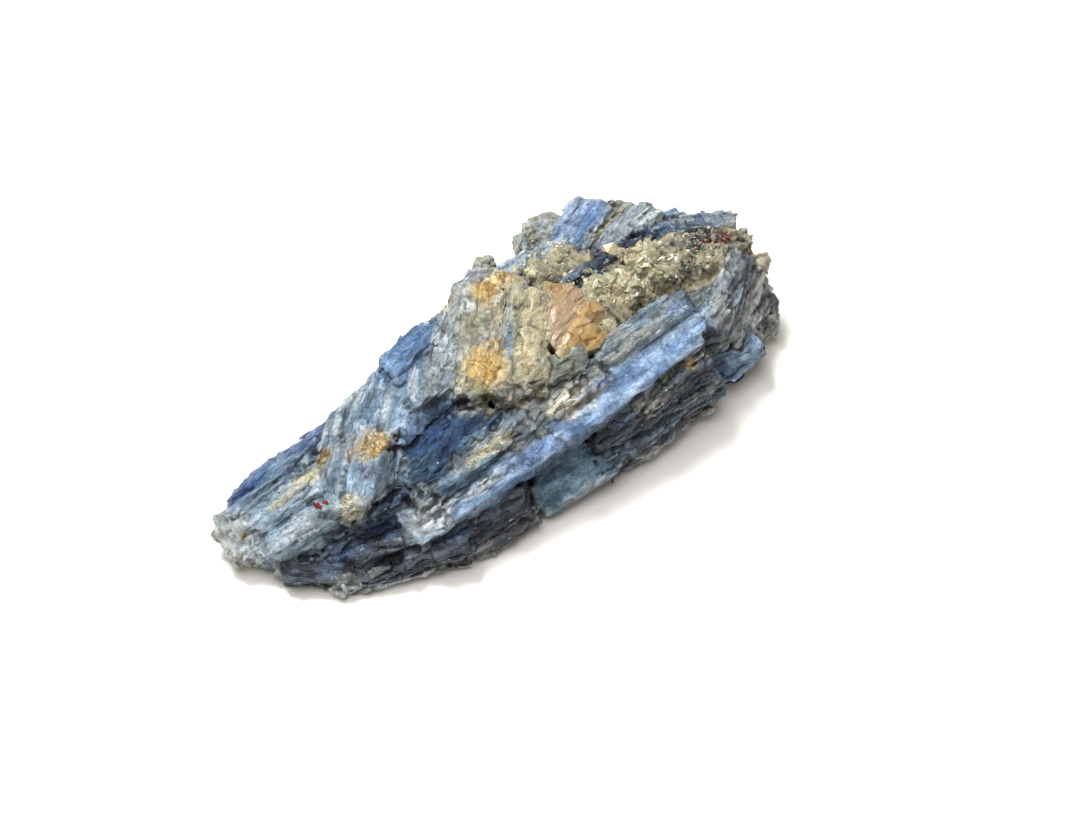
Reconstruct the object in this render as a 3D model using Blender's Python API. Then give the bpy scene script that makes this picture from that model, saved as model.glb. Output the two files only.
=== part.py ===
"""Kyanite blade cluster: long flat crystals grown side by side into one stone.

The stone is one intergrown piece. Its long axis runs along X, the flank of steep dark blades faces -Y,
granular quartz fills the upper right end, and the broken flat underside lies on Z = 0.
The tables are in millimetres; MM turns them into metres.
"""

import collections
import math
import random

import bmesh
import bpy
from mathutils import Matrix, Vector, noise

MM = 0.001
OBJECT_NAME = "kyanite_cluster"
STONE_COLOUR = (0.36, 0.45, 0.56, 1.0)
STONE_ROUGHNESS = 0.45

SHIFT = Vector((-0.1, -0.9, 0.0))  # moves the middle of the outline onto the origin
BASE_Z = 0.0  # height of the broken flat underside
EDGE_SHARE = 0.22  # chamfer along a blade's outer edges, as a share of its thickness
RIDGE_SPACING = 2.3  # one raised lath for about this much blade width
RIDGE_HEIGHT = (0.25, 0.7)  # how far a lath stands above the face of its blade
RIDGE_DEPTH = 1.1  # how far a lath reaches below that face
CALM_BLADES = ("hero_main", "hero_tail", "plate_steel")  # smooth faces with few, low laths
CALM_HEIGHT = 0.4  # their lath height, as a share of the usual one
RIDGE_YAW = 1.6  # largest angle between a lath and its blade, degrees
END_SLANT = 0.35  # largest slope of a broken blade end

FAN_LENGTHS = (16.5, 22.5, 25, 17.5, 18, 20)  # the broad blades along the upper outline, from the arm
FAN_FIRST_TIP = (-18.5, 9, 11.5)
FAN_LAST_TIP = (5, 13, 15)
FAN_HEADING = 44
FAN_CLIMB = 7  # of the first one; the last lies level
FAN_FIRST_WIDTH = 5
FAN_WIDTH = 6
FAN_THICKNESS = 4
FAN_ROLL = -4
FAN_ROLL_STEP = 2
FAN_FIRST_CUTS = (0.0, -0.9)
FAN_CUTS = (-0.5, -1.2)

END_LENGTHS = (14, 13.5, 11, 8)  # the blades turned across the right end, from the top down
END_TOP = (27.5, -13, 11.5)
END_STEP = (2.8, 0.0, -2.3)
END_HEADING = 35
END_CLIMB = 11
END_WIDTH = 4
END_THICKNESS = 5
END_ROLL = 20
END_ROLL_STEP = 10

# A blade: middle of its outer face at the two ends, width at the two ends, thickness,
# roll about its length (positive turns the face towards the front flank), and where an end is cut
# across on a slope, the slopes of its two ends.
Blade = collections.namedtuple("Blade", "name start end widths thickness roll cuts")
Lump = collections.namedtuple("Lump", "name centre radii roughness")


def reached(start, length, heading, climb):
    """The place this far from the start, with the heading and the climb in degrees."""
    turn = math.radians(heading)
    lift = math.radians(climb)
    run = length * math.cos(lift)
    x, y, z = start
    return (x + run * math.cos(turn), y + run * math.sin(turn), z + length * math.sin(lift))


def crystal(name, start, length, heading, climb, widths, thickness, roll, cuts=(0.0, 0.0)):
    """A blade from where it starts, its length, its heading from +X towards +Y and its climb."""
    end = reached(start, length, heading, climb)
    return Blade(name, start, end, widths, thickness, roll, cuts)


def fan():
    """Six broad blades side by side, whose far ends step up along the upper outline."""
    blades = []
    for index, length in enumerate(FAN_LENGTHS):
        share = index / (len(FAN_LENGTHS) - 1)
        tip = [low + share * (high - low) for low, high in zip(FAN_FIRST_TIP, FAN_LAST_TIP)]
        climb = FAN_CLIMB * (1 - share)
        start = reached(tip, -length, FAN_HEADING, climb)
        name = f"fan_{index + 1}"
        width = FAN_FIRST_WIDTH if index == 0 else FAN_WIDTH
        cuts = FAN_FIRST_CUTS if index == 0 else FAN_CUTS
        roll = FAN_ROLL + index * FAN_ROLL_STEP
        blades.append(
            crystal(name, start, length, FAN_HEADING, climb, (width, width), FAN_THICKNESS, roll, cuts)
        )
    return blades


def right_end():
    """Four blades turned across the stone, each lower, shorter and steeper on its side than the last."""
    blades = []
    for index, length in enumerate(END_LENGTHS):
        start = [place + index * step for place, step in zip(END_TOP, END_STEP)]
        name = f"end_{index + 1}"
        widths = (END_WIDTH, END_WIDTH)
        roll = END_ROLL + index * END_ROLL_STEP
        blades.append(crystal(name, start, length, END_HEADING, END_CLIMB, widths, END_THICKNESS, roll))
    return blades


LEFT_ARM = [
    crystal("arm_plate", (-42, 1.5, 5), 24.5, -7, 14, (8.5, 10), 3, 4, (-0.35, 0.0)),
    crystal("arm_indigo", (-41, 6.5, 5.5), 21.5, 1, 13, (4, 5.5), 5, -14),
    crystal("arm_rim", (-42, -1, 3.5), 13, -14, 17, (4.4, 4.4), 3, 12, (-0.8, 0.0)),
    crystal("arm_dark_edge", (-32, -6, 5.2), 13, 1, 18, (2.4, 2.6), 2.4, 62),
    crystal("arm_ridge_a", (-40, 2, 6.5), 14, -4, 12, (3.4, 3.6), 2, 0),
    crystal("arm_ridge_b", (-40.5, -2, 5.5), 16, -9, 16, (3, 3.4), 2, 6),
    crystal("arm_foot", (-38.5, -4, 3.5), 9, -40, 2, (4, 4), 3, 10),
]

UPPER_FAN = fan() + [crystal("fan_blue", (-14, 7.5, 14), 11, 16, 5, (5, 4), 3, -8)]

DEEP_MIDDLE = [
    crystal("deep_1", (-19, -3.5, 11.5), 14, 12, 8, (4.5, 4), 4, 0),
    crystal("deep_2", (-20, -7.5, 11), 15.5, 8, 11, (4, 4), 4, 8),
    crystal("deep_3", (-18.5, -10, 10.5), 14, 4, 10, (3.6, 4), 4, 0),
    crystal("deep_4", (-17.5, -0.5, 12), 8, 11, 7, (5, 5), 4, 0),
]

CENTRE = [
    crystal("centre_1", (-8, -0.5, 15.5), 19, 48, 1, (5, 5), 4, -4),
    crystal("centre_2", (-7, -4.5, 16), 23, 51, 1, (6, 6), 4, -2),
    crystal("centre_3", (-4, -7, 17), 21.5, 52, 0, (5, 5), 4, 2),
    crystal("centre_4", (-0.5, -7.5, 17.5), 17, 50, 0, (4.5, 4.5), 4, 4),
    crystal("cream_strip", (-21.5, -9.5, 10), 19, 0, 12, (3, 4), 3, 10),
    crystal("grey_fibre_1", (-6.5, -10.5, 12.5), 13.5, 9, 15, (4.5, 4), 4, 20),
    crystal("grey_fibre_2", (-2.5, -11, 13), 13, 2, 13, (4, 4), 4, 20),
    crystal("centre_lip", (-4.5, -6.5, 16.5), 14, -6, 4, (2.6, 3), 3, 15),
]

LONG_BLUE = [
    crystal("hero_tail", (-18, -14, 9.5), 22, 4, 9, (1.8, 6), 2, 0),
    crystal("hero_main", (-1, -12, 13), 27.5, 2, 6, (7.5, 6.5), 2.2, 0),
    crystal("hero_keel", (-20, -14, 8.5), 14.5, 2, 12, (1.6, 2), 2.5, 25),
    crystal("hero_chip", (25.5, -11.5, 15), 6, 15, 10, (3.5, 3), 3, -10),
    crystal("upper_grey", (10.5, -8, 16), 16, 0, 4, (3.5, 4), 3, -5),
    crystal("pale_patch", (-24, -11.5, 7.5), 10, -9, 12, (5.5, 4), 3, 12),
]

FRONT_FLANK = [
    crystal("flank_a1", (-35, -7, 3), 17, -11, 17, (4.6, 5), 4, 50),
    crystal("flank_a2", (-33.5, -9.5, 2.5), 18.5, -21, 11, (4.6, 5), 4, 44),
    crystal("flank_lip", (-33.5, -10.5, 1), 18, -21, 5, (2.6, 3), 3, 20),
    crystal("flank_a3", (-22, -13.5, 4.5), 15, -12, 13, (5, 5), 4, 50),
    crystal("flank_a4", (-19.5, -16, 2.5), 13.5, -4, 6, (3.6, 4), 4, 40),
    crystal("plate_steel", (-5.5, -16, 4), 14, -4, 12, (6.5, 6.5), 3.5, 42),
    crystal("flank_b1", (4, -16.5, 9.5), 20, 0, 9, (4, 4.4), 4, 55),
    crystal("flank_b2", (4, -17, 6.5), 22, 1, 5, (5, 5), 4, 50),
    crystal("flank_b3", (5.5, -17, 3), 19.5, 3, 4, (4, 4), 4, 35),
    crystal("flank_b_blue", (27.5, -14.5, 5.5), 7, 0, 17, (4.6, 5), 4, 35),
    crystal("flank_b4", (11.5, -16.5, 11), 14, 6, 12, (3.4, 3.6), 3, 60),
]

RIGHT_END = right_end()

TOP_EDGE = [
    crystal("top_blue_1", (15.5, 9.5, 15), 14, 26, -2, (5, 6), 4, -8),
    crystal("top_olive", (22, 8.5, 14.5), 10.5, 25, -3, (3.6, 4.2), 4, -4),
    crystal("top_silver", (22, 6.5, 16), 12, 17, -5, (2.4, 2.4), 3, 0),
    crystal("top_blue_2", (29, 6, 15.5), 8.5, -3, -10, (4.4, 4.4), 4, -10),
    crystal("top_tan", (34, 4.5, 15), 10, -21, -12, (4.6, 4.6), 4, -10),
    crystal("top_rim", (35.5, 0.5, 14), 8.5, -42, -17, (4.4, 4.4), 4, 0),
    crystal("dark_band_1", (13, 4, 15.5), 14.5, 0, 2, (3, 3), 3, 0),
    crystal("dark_band_2", (25, 3.5, 16), 16.5, -18, -5, (3, 3), 3, 0),
    crystal("glass_flake", (28.5, 7, 16), 5, 18, -6, (3, 3), 1.5, -30),
]

BACK_FLANK = [
    crystal("back_1", (-30, 6, 7), 25, 13, 9, (5, 6), 5, -55),
    crystal("back_2", (-29, 7.5, 3), 31.5, 11, 5, (5, 6), 5, -68),
    crystal("back_3", (-8, 12, 11), 26, 8, 2, (5, 5), 5, -50),
    crystal("back_4", (-4, 14, 6.5), 26.5, 10, 2, (6, 6), 5, -66),
    crystal("back_5", (16, 14.5, 11.5), 22, -20, 1, (5, 5), 5, -50),
    crystal("back_6", (17, 18, 7), 25.5, -27, 2, (6, 5), 5, -66),
    crystal("back_7", (12, 18, 2.5), 27, -22, 1, (5, 4), 5, -78),
    crystal("back_8", (-20, 9.5, 1.5), 37, 12, 2, (4, 5), 5, -80),
    crystal("back_9", (0, 13, 9.5), 25, 6, 0, (5, 5), 5, -60),
    crystal("back_end_a", (30, 8, 5), 12, -31, 12, (5, 5), 5, -40),
    crystal("back_end_b", (31, 6, 1.5), 13, -32, 7, (5, 4), 5, -62),
]

CORE = [
    crystal("core_low", (-33, -1, 6), 69, 0, 2, (13, 21), 9, 0),
    crystal("core_front", (-30, -9, 4.5), 64, -2, 2, (7, 9), 6, 16),
    crystal("core_back", (-24, 5, 9), 58, 2, 2, (9, 15), 11, -8),
    crystal("core_high", (-22, -4, 10.5), 56, 0, 3, (12, 15), 8, 0),
    crystal("core_back_end", (2, 11, 9), 28, -4, 2, (10, 13), 10, -10),
    crystal("core_right", (18, -3, 9), 18, 0, -2, (19, 12), 9, 0),
]

QUARTZ = [
    Lump("quartz_back_a", (19.5, 16, 8.5), (5, 4.3, 4.5), 0.9),
    Lump("quartz_back_b", (16.5, 8.5, 11), (5.5, 5, 5), 0.8),
    Lump("granular_a", (18.5, 0.5, 12), (7, 5, 5), 0.7),
    Lump("granular_b", (27, 1, 12.5), (8, 5, 4.5), 0.7),
    Lump("granular_c", (34.5, -1.5, 11.5), (7, 5, 4), 0.7),
    Lump("peach_quartz", (12, -1.5, 12.5), (6, 5.5, 4.6), 0.7),
]

QUARTZ_SIDES = 2  # rounds of splitting for a quartz mass
GRAIN_COUNT = 22
GRAIN_RADIUS = (1.2, 2.4)
NUBS = [
    Lump("arm_end_quartz", (-41.8, 3, 3.4), (2.6, 4.5, 2.6), 0.9),
    Lump("arm_nub", (-38.5, -4, 1.8), (1.6, 1.4, 1.4), 0.9),
    Lump("lip_nub", (-33, -10.5, 1.3), (1.8, 1.6, 1.5), 0.9),
    Lump("fan_knob", (7.5, 14.3, 14.4), (1.8, 1.6, 1.6), 0.9),
    Lump("flank_knob", (-6.5, -15.8, 3), (1.8, 1.6, 1.6), 0.9),
    Lump("rim_nub_a", (41.3, -2, 11.8), (1.8, 1.8, 1.6), 0.9),
    Lump("rim_nub_b", (41.6, -6, 10.6), (1.6, 1.6, 1.6), 0.9),
    Lump("end_nub", (39.5, -10.5, 3.2), (2.2, 2.0, 2.2), 0.9),
    Lump("end_rock_a", (36.5, 1.5, 7), (5.5, 5.5, 5), 1.0),
    Lump("end_rock_b", (37, -5, 3.5), (5.5, 5, 4.5), 1.0),
    Lump("garnet_red", (-31.5, -2, 8.5), (1.0, 1.0, 0.9), 0.1),
]


def clear_scene():
    """Leaves nothing of the start-up scene."""
    for item in list(bpy.data.objects):
        bpy.data.objects.remove(item, do_unlink=True)


def new_collection(name):
    made = bpy.data.collections.new(name)
    bpy.context.scene.collection.children.link(made)
    return made


def stone_material():
    made = bpy.data.materials.new("kyanite")
    made.use_nodes = True
    shader = made.node_tree.nodes["Principled BSDF"]
    shader.inputs["Base Color"].default_value = STONE_COLOUR
    shader.inputs["Roughness"].default_value = STONE_ROUGHNESS
    made.diffuse_color = STONE_COLOUR
    return made


def object_from(shape, name, collection):
    """Turns a shape in millimetres into an object in metres."""
    bmesh.ops.recalc_face_normals(shape, faces=shape.faces)
    for vertex in shape.verts:
        vertex.co = (vertex.co + SHIFT) * MM
    mesh = bpy.data.meshes.new(name)
    shape.to_mesh(mesh)
    shape.free()
    made = bpy.data.objects.new(name, mesh)
    collection.objects.link(made)
    return made


def hide_as_cutter(item):
    item.hide_render = True
    item.display_type = "WIRE"


def blade_axes(blade):
    """Directions along the blade, across its face, and out of its face."""
    along = (Vector(blade.end) - Vector(blade.start)).normalized()
    level = Vector((0, 0, 1)).cross(along).normalized()
    up = along.cross(level)
    roll = math.radians(blade.roll)
    across = level * math.cos(roll) + up * math.sin(roll)
    out = up * math.cos(roll) - level * math.sin(roll)
    return along, across, out


def chamfer_long_edges(shape, size):
    """Takes the sharp corner off the two long edges of the outer face."""
    chosen = []
    for edge in shape.edges:
        first, second = edge.verts
        lengthwise = abs(first.co.x - second.co.x) > 0.5 * size.x
        outer = first.co.z > 0 and second.co.z > 0
        if lengthwise and outer:
            chosen.append(edge)
    offset = min(EDGE_SHARE * size.z, 0.25 * size.y)
    bmesh.ops.bevel(shape, geom=chosen, offset=offset, segments=1, affect="EDGES")


def bar_shape(length, widths, thickness, chance, cuts=(0.0, 0.0)):
    """A flat crystal lying along X, its outer face at the top, with slanting broken ends."""
    shape = bmesh.new()
    bmesh.ops.create_cube(shape, size=1.0)
    size = Vector((length, 0.5 * (widths[0] + widths[1]), thickness))
    bmesh.ops.scale(shape, vec=size, verts=shape.verts)
    chamfer_long_edges(shape, size)
    slants = [chance.uniform(-END_SLANT, END_SLANT) for _ in range(4)]
    for vertex in shape.verts:
        far = vertex.co.x > 0
        share = vertex.co.x / length + 0.5
        width = widths[0] + (widths[1] - widths[0]) * share
        across_slant = slants[0] + cuts[1] if far else slants[1] + cuts[0]
        depth_slant = slants[2] if far else slants[3]
        vertex.co.x += across_slant * vertex.co.y + depth_slant * (0.5 * thickness - vertex.co.z)
        vertex.co.y *= width / size.y
    return shape


def place_bar(shape, blade, middle):
    """Turns a bar from its own axes to those of its blade."""
    along, across, out = blade_axes(blade)
    turn = Matrix((along, across, out)).transposed().to_4x4()
    bmesh.ops.transform(shape, matrix=Matrix.Translation(middle) @ turn, verts=shape.verts)


def blade_shape(blade):
    """The blade's body, lying in its place."""
    start = Vector(blade.start)
    end = Vector(blade.end)
    chance = random.Random(blade.name)
    _, _, out = blade_axes(blade)
    shape = bar_shape((end - start).length, blade.widths, blade.thickness, chance, blade.cuts)
    place_bar(shape, blade, 0.5 * (start + end) - 0.5 * blade.thickness * out)
    return shape


def add_blade(blade, collection):
    hide_as_cutter(object_from(blade_shape(blade), blade.name, collection))


def add_ridges(blade, collection):
    """Raised laths along the face of a blade, the stepped growth that gives kyanite its striped look."""
    chance = random.Random(blade.name + "_laths")
    start = Vector(blade.start)
    end = Vector(blade.end)
    length = (end - start).length
    along, across, out = blade_axes(blade)
    mean_width = 0.5 * (blade.widths[0] + blade.widths[1])
    count = max(1, round(mean_width / RIDGE_SPACING))
    calm = blade.name in CALM_BLADES
    if calm:
        count = 2
    for index in range(count):
        place = (index + chance.uniform(0.2, 0.8)) / count - 0.5
        width = mean_width / count * chance.uniform(0.45, 0.8)
        first = chance.uniform(-0.02, 0.25)
        last = chance.uniform(0.75, 1.02)
        height = chance.uniform(*RIDGE_HEIGHT) * (CALM_HEIGHT if calm else 1.0)
        thickness = height + RIDGE_DEPTH
        yaw = math.radians(chance.uniform(-RIDGE_YAW, RIDGE_YAW))
        shape = bar_shape((last - first) * length, (width, 0.7 * width), thickness, chance)
        bmesh.ops.rotate(shape, matrix=Matrix.Rotation(yaw, 3, "Z"), verts=shape.verts)
        middle = start + along * (0.5 * (first + last) * length)
        middle += across * (place * mean_width * 0.9)
        middle += out * (height - 0.5 * thickness)
        place_bar(shape, blade, middle)
        hide_as_cutter(object_from(shape, f"{blade.name}_lath_{index + 1}", collection))


def add_lump(lump, collection, sides):
    """A rough rounded grain or mass."""
    shape = bmesh.new()
    bmesh.ops.create_icosphere(shape, subdivisions=sides, radius=1.0)
    seed = Vector(lump.centre) * 1.7
    for vertex in shape.verts:
        swell = 1.0 + 0.45 * lump.roughness * noise.noise(vertex.co * 1.9 + seed)
        vertex.co *= swell
    bmesh.ops.scale(shape, vec=lump.radii, verts=shape.verts)
    bmesh.ops.translate(shape, vec=lump.centre, verts=shape.verts)
    hide_as_cutter(object_from(shape, lump.name, collection))


def add_grains(collection):
    """Angular chunks standing out of the quartz masses."""
    chance = random.Random("quartz_grains")
    for index in range(GRAIN_COUNT):
        host = QUARTZ[index % len(QUARTZ)]
        heading = chance.uniform(0, 2 * math.pi)
        rise = chance.uniform(0.35, 0.98)
        level = math.sqrt(1 - rise * rise)
        direction = Vector((level * math.cos(heading), level * math.sin(heading), rise))
        reach = [0.85 * part * radius for part, radius in zip(direction, host.radii)]
        centre = Vector(host.centre) + Vector(reach)
        radius = chance.uniform(*GRAIN_RADIUS)
        grain = Lump(f"grain_{index + 1}", tuple(centre), (radius, radius, 0.9 * radius), 1.0)
        add_lump(grain, collection, 1)


def base_box(collection):
    """The half of space above the broken underside."""
    shape = bmesh.new()
    bmesh.ops.create_cube(shape, size=200.0)
    bmesh.ops.translate(shape, vec=(0, 0, BASE_Z + 100.0), verts=shape.verts)
    made = object_from(shape, "above_base", collection)
    hide_as_cutter(made)
    return made


def add_boolean(item, name, operation, collection=None, other=None):
    step = item.modifiers.new(name, "BOOLEAN")
    step.operation = operation
    step.solver = "EXACT"
    if collection is not None:
        step.operand_type = "COLLECTION"
        step.collection = collection
    else:
        step.object = other


def island_of(face, seen):
    """All the faces joined to this one."""
    found = [face]
    seen.add(face)
    for member in found:
        for edge in member.edges:
            for other in edge.link_faces:
                if other not in seen:
                    seen.add(other)
                    found.append(other)
    return found


def signed_volume(faces):
    total = 0.0
    for face in faces:
        origin = face.verts[0].co
        for second, third in zip(face.verts[1:-1], face.verts[2:]):
            total += origin.dot(second.co.cross(third.co)) / 6
    return total


def fill_pockets(item):
    """Keeps the outer surface only: the stone is solid, so pockets sealed between crystals are filled."""
    graph = bpy.context.evaluated_depsgraph_get()
    mesh = bpy.data.meshes.new_from_object(item.evaluated_get(graph))
    item.modifiers.clear()
    item.data = mesh
    shape = bmesh.new()
    shape.from_mesh(mesh)
    seen = set()
    islands = [island_of(face, seen) for face in shape.faces if face not in seen]
    islands.sort(key=signed_volume)
    inner = [face for island in islands[:-1] for face in island]
    bmesh.ops.delete(shape, geom=inner, context="FACES")
    bmesh.ops.triangulate(shape, faces=shape.faces)
    shape.to_mesh(mesh)
    shape.free()


def build():
    clear_scene()
    cluster = new_collection(OBJECT_NAME)
    blades = new_collection("blade_cutters")
    quartz = new_collection("quartz_cutters")
    base = new_collection("base_cutter")
    outer = LEFT_ARM + UPPER_FAN + DEEP_MIDDLE + CENTRE + LONG_BLUE + FRONT_FLANK
    outer = outer + RIGHT_END + TOP_EDGE + BACK_FLANK
    for blade in outer:
        add_blade(blade, blades)
        add_ridges(blade, blades)
    for blade in CORE[1:]:
        add_blade(blade, blades)
    for lump in QUARTZ:
        add_lump(lump, quartz, QUARTZ_SIDES)
    for lump in NUBS:
        add_lump(lump, quartz, 1)
    add_grains(quartz)
    stone = object_from(blade_shape(CORE[0]), OBJECT_NAME, cluster)
    stone.data.materials.append(stone_material())
    add_boolean(stone, "blades", "UNION", collection=blades)
    add_boolean(stone, "quartz", "UNION", collection=quartz)
    add_boolean(stone, "flat_base", "INTERSECT", other=base_box(base))
    fill_pockets(stone)


build()
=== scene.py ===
"""Kyanite blade cluster, dressed: fine blades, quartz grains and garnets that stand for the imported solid.

Lengths in the tables are millimetres, in the part's own frame before SHIFT. MM turns them into metres.
"""

import collections
import math
import random

import bmesh
import bpy
import numpy as np
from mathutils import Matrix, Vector, noise
from mathutils.kdtree import KDTree


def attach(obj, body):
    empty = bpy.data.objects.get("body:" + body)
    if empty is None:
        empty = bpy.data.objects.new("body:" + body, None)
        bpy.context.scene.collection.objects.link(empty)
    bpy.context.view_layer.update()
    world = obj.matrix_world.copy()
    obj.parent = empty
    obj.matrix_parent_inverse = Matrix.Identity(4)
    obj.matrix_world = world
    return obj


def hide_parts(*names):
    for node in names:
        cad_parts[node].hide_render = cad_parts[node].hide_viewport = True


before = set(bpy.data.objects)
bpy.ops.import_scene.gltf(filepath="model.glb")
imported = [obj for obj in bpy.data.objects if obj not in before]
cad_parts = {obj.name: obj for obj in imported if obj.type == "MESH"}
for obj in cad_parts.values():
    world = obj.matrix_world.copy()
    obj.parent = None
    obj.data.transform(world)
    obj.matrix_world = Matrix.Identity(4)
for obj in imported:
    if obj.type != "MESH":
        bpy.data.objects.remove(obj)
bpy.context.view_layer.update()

MM = 0.001
SHIFT = np.array((-0.1, -0.9, 0.0))  # from the tables' frame to the shared one
VOXEL = 0.22  # fineness of the merged skin
TOP_Z = 18.3  # nothing on the skin stands higher
OVERLAP = 0.7  # how far neighbouring crystals run into one another, at most

# The rough blocks before they are merged: spacing of their rings, width of their laths.
RING = 0.6
LATH = 0.95
INNER_RING = 1.2
INNER_LATH = 1.6
LAYER = 0.75  # thickness of the layers that a blade's sides show

# The raised laths on a face and the slanted ends, drawn as the solid draws them.
RIDGE_SPACING = 2.3
RIDGE_HEIGHT = (0.25, 0.7)
RIDGE_YAW = 1.6  # largest angle between a lath and its blade, degrees
END_SLANT = 0.35
CALM_BLADES = ("hero_main", "hero_tail", "plate_steel")  # the smooth blue and steel plates
CALM_HEIGHT = 0.4
CALM_RELIEF = 0.6

# Where crystals meet.
SOFT_BLADES = (
    "centre_1", "centre_2", "centre_3", "centre_4", "fan_3", "fan_4", "fan_5", "fan_6",
    "hero_main", "hero_tail", "upper_grey", "arm_plate", "arm_ridge_a", "arm_ridge_b", "arm_rim",
)
SOFT_ROUNDS = 34  # how far the grooves between these are worn smooth
WEAR = 0.85  # how much of those grooves goes
SEAM_DEPTH = 0.16  # of the crack between two crystals
# How dark the painted shade in that crack is.
SEAM_SHADE = 0.45
BLEND_ROUNDS = 14  # how far the colours of neighbouring crystals run into one another
SKIN_CUTS = (-60.0, -4.0, 16.0, 60.0)  # along the stone, where the skin is cut into three pieces

# The relief of a crystal's skin: splinters' length and width, and lifts as a share of its look's step.
BIG_SPLINTER = (4.4, 1.1)
SMALL_SPLINTER = (1.9, 0.55)
BIG_LIFT = 2.0
SMALL_LIFT = 0.7
LEDGE_LIFT = 0.9
SHORTEST_RUN = 2.5  # of a fibre, before it breaks
RUN_SPREAD = 5.0
LUMP_FACET = 1.1  # size of the facets on a lump of quartz
WEATHERED = ("centre", "cream_strip", "fan_6", "top_rim", "top_olive")  # short grain on these
WEATHERED_GRAIN = 2.4  # how many times shorter
CRACKED = ("flank", "end", "dark_band", "back")  # the crystals with open cracks along them
Cracks = collections.namedtuple("Cracks", "width depth contrast")
WIDE_CRACKS = Cracks(0.13, 0.2, 1.9)
FINE_CRACKS = Cracks(0.05, 0.08, 1.0)
# How dark the painted shade in the cracks is.
CRACK_SHADE = 0.5
DEPTH_SHADE = 0.45  # painted shade, darker down a crystal's sides

# Loose grains and splinters.
CHIP_GRAIN = 1.3  # fineness of the texture on the quartz
FLAKE_COUNT = 4200  # splinters tried; any that would leave its crystal or the skin is dropped
FLAKE_REACH = 0.3  # how far from the skin a splinter's two ends may be
SPARKLES = 0.08  # the share of the splinters that are white, as painted glints

FAN_LENGTHS = (16.5, 22.5, 25, 17.5, 18, 20)  # the broad blades along the upper outline, from the arm
FAN_FIRST_TIP = (-18.5, 9, 11.5)
FAN_LAST_TIP = (5, 13, 15)
FAN_HEADING = 44
FAN_CLIMB = 7  # of the first one; the last lies level
FAN_FIRST_WIDTH = 5
FAN_WIDTH = 6
FAN_THICKNESS = 4
FAN_ROLL = -4
FAN_ROLL_STEP = 2
FAN_FIRST_CUTS = (0.0, -0.9)
FAN_CUTS = (-0.5, -1.2)

END_LENGTHS = (14, 13.5, 11, 8)  # the blades turned across the right end, from the top down
END_TOP = (27.5, -13, 11.5)
END_STEP = (2.8, 0.0, -2.3)
END_HEADING = 35
END_CLIMB = 11
END_WIDTH = 4
END_THICKNESS = 5
END_ROLL = 20
END_ROLL_STEP = 10

# A blade: middle of its outer face at the two ends, width at the two ends, thickness,
# roll about its length (positive turns the face towards the front flank), and where an end is cut
# across on a slope, the slopes of its two ends.
Blade = collections.namedtuple("Blade", "name start end widths thickness roll cuts")
Lump = collections.namedtuple("Lump", "name centre radii roughness")
# How a crystal looks: its two colours, lath width, terrace step, raggedness of its ends.
Look = collections.namedtuple("Look", "first second lath step ragged")
# A stain or weathered patch, a painted shadow line, painted shade in a pit or hollow, or a painted
# highlight: how far along its crystal, how far to the left as a share of half the width, length and width in
# millimetres, colour, and how much of the colour below it hides.
StainOrPaintedLight = collections.namedtuple("StainOrPaintedLight", "name crystal along left length width colour strength")
# Where grains lie on the skin: middle, radii, how many, sizes, colours.
Drift = collections.namedtuple("Drift", "name middle radii count sizes palette")
Laths = collections.namedtuple("Laths", "edges middles own tilt first last")


def reached(start, length, heading, climb):
    """The place this far from the start, with the heading and the climb in degrees."""
    turn = math.radians(heading)
    lift = math.radians(climb)
    run = length * math.cos(lift)
    x, y, z = start
    return (x + run * math.cos(turn), y + run * math.sin(turn), z + length * math.sin(lift))


def crystal(name, start, length, heading, climb, widths, thickness, roll, cuts=(0.0, 0.0)):
    """A blade from where it starts, its length, its heading from +X towards +Y and its climb."""
    end = reached(start, length, heading, climb)
    return Blade(name, start, end, widths, thickness, roll, cuts)


def fan():
    """Six broad blades side by side, whose far ends step up along the upper outline."""
    blades = []
    for index, length in enumerate(FAN_LENGTHS):
        share = index / (len(FAN_LENGTHS) - 1)
        tip = [low + share * (high - low) for low, high in zip(FAN_FIRST_TIP, FAN_LAST_TIP)]
        climb = FAN_CLIMB * (1 - share)
        start = reached(tip, -length, FAN_HEADING, climb)
        name = f"fan_{index + 1}"
        width = FAN_FIRST_WIDTH if index == 0 else FAN_WIDTH
        cuts = FAN_FIRST_CUTS if index == 0 else FAN_CUTS
        roll = FAN_ROLL + index * FAN_ROLL_STEP
        blades.append(
            crystal(name, start, length, FAN_HEADING, climb, (width, width), FAN_THICKNESS, roll, cuts)
        )
    return blades


def right_end():
    """Four blades turned across the stone, each lower, shorter and steeper on its side than the last."""
    blades = []
    for index, length in enumerate(END_LENGTHS):
        start = [place + index * step for place, step in zip(END_TOP, END_STEP)]
        name = f"end_{index + 1}"
        widths = (END_WIDTH, END_WIDTH)
        roll = END_ROLL + index * END_ROLL_STEP
        blades.append(crystal(name, start, length, END_HEADING, END_CLIMB, widths, END_THICKNESS, roll))
    return blades


LEFT_ARM = [
    crystal("arm_plate", (-42, 1.5, 5), 24.5, -7, 14, (8.5, 10), 3, 4, (-0.35, 0.0)),
    crystal("arm_indigo", (-41, 6.5, 5.5), 21.5, 1, 13, (4, 5.5), 5, -14),
    crystal("arm_rim", (-42, -1, 3.5), 13, -14, 17, (4.4, 4.4), 3, 12, (-0.8, 0.0)),
    crystal("arm_dark_edge", (-32, -6, 5.2), 13, 1, 18, (2.4, 2.6), 2.4, 62),
    crystal("arm_ridge_a", (-40, 2, 6.5), 14, -4, 12, (3.4, 3.6), 2, 0),
    crystal("arm_ridge_b", (-40.5, -2, 5.5), 16, -9, 16, (3, 3.4), 2, 6),
    crystal("arm_foot", (-38.5, -4, 3.5), 9, -40, 2, (4, 4), 3, 10),
]

UPPER_FAN = fan() + [crystal("fan_blue", (-14, 7.5, 14), 11, 16, 5, (5, 4), 3, -8)]

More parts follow.
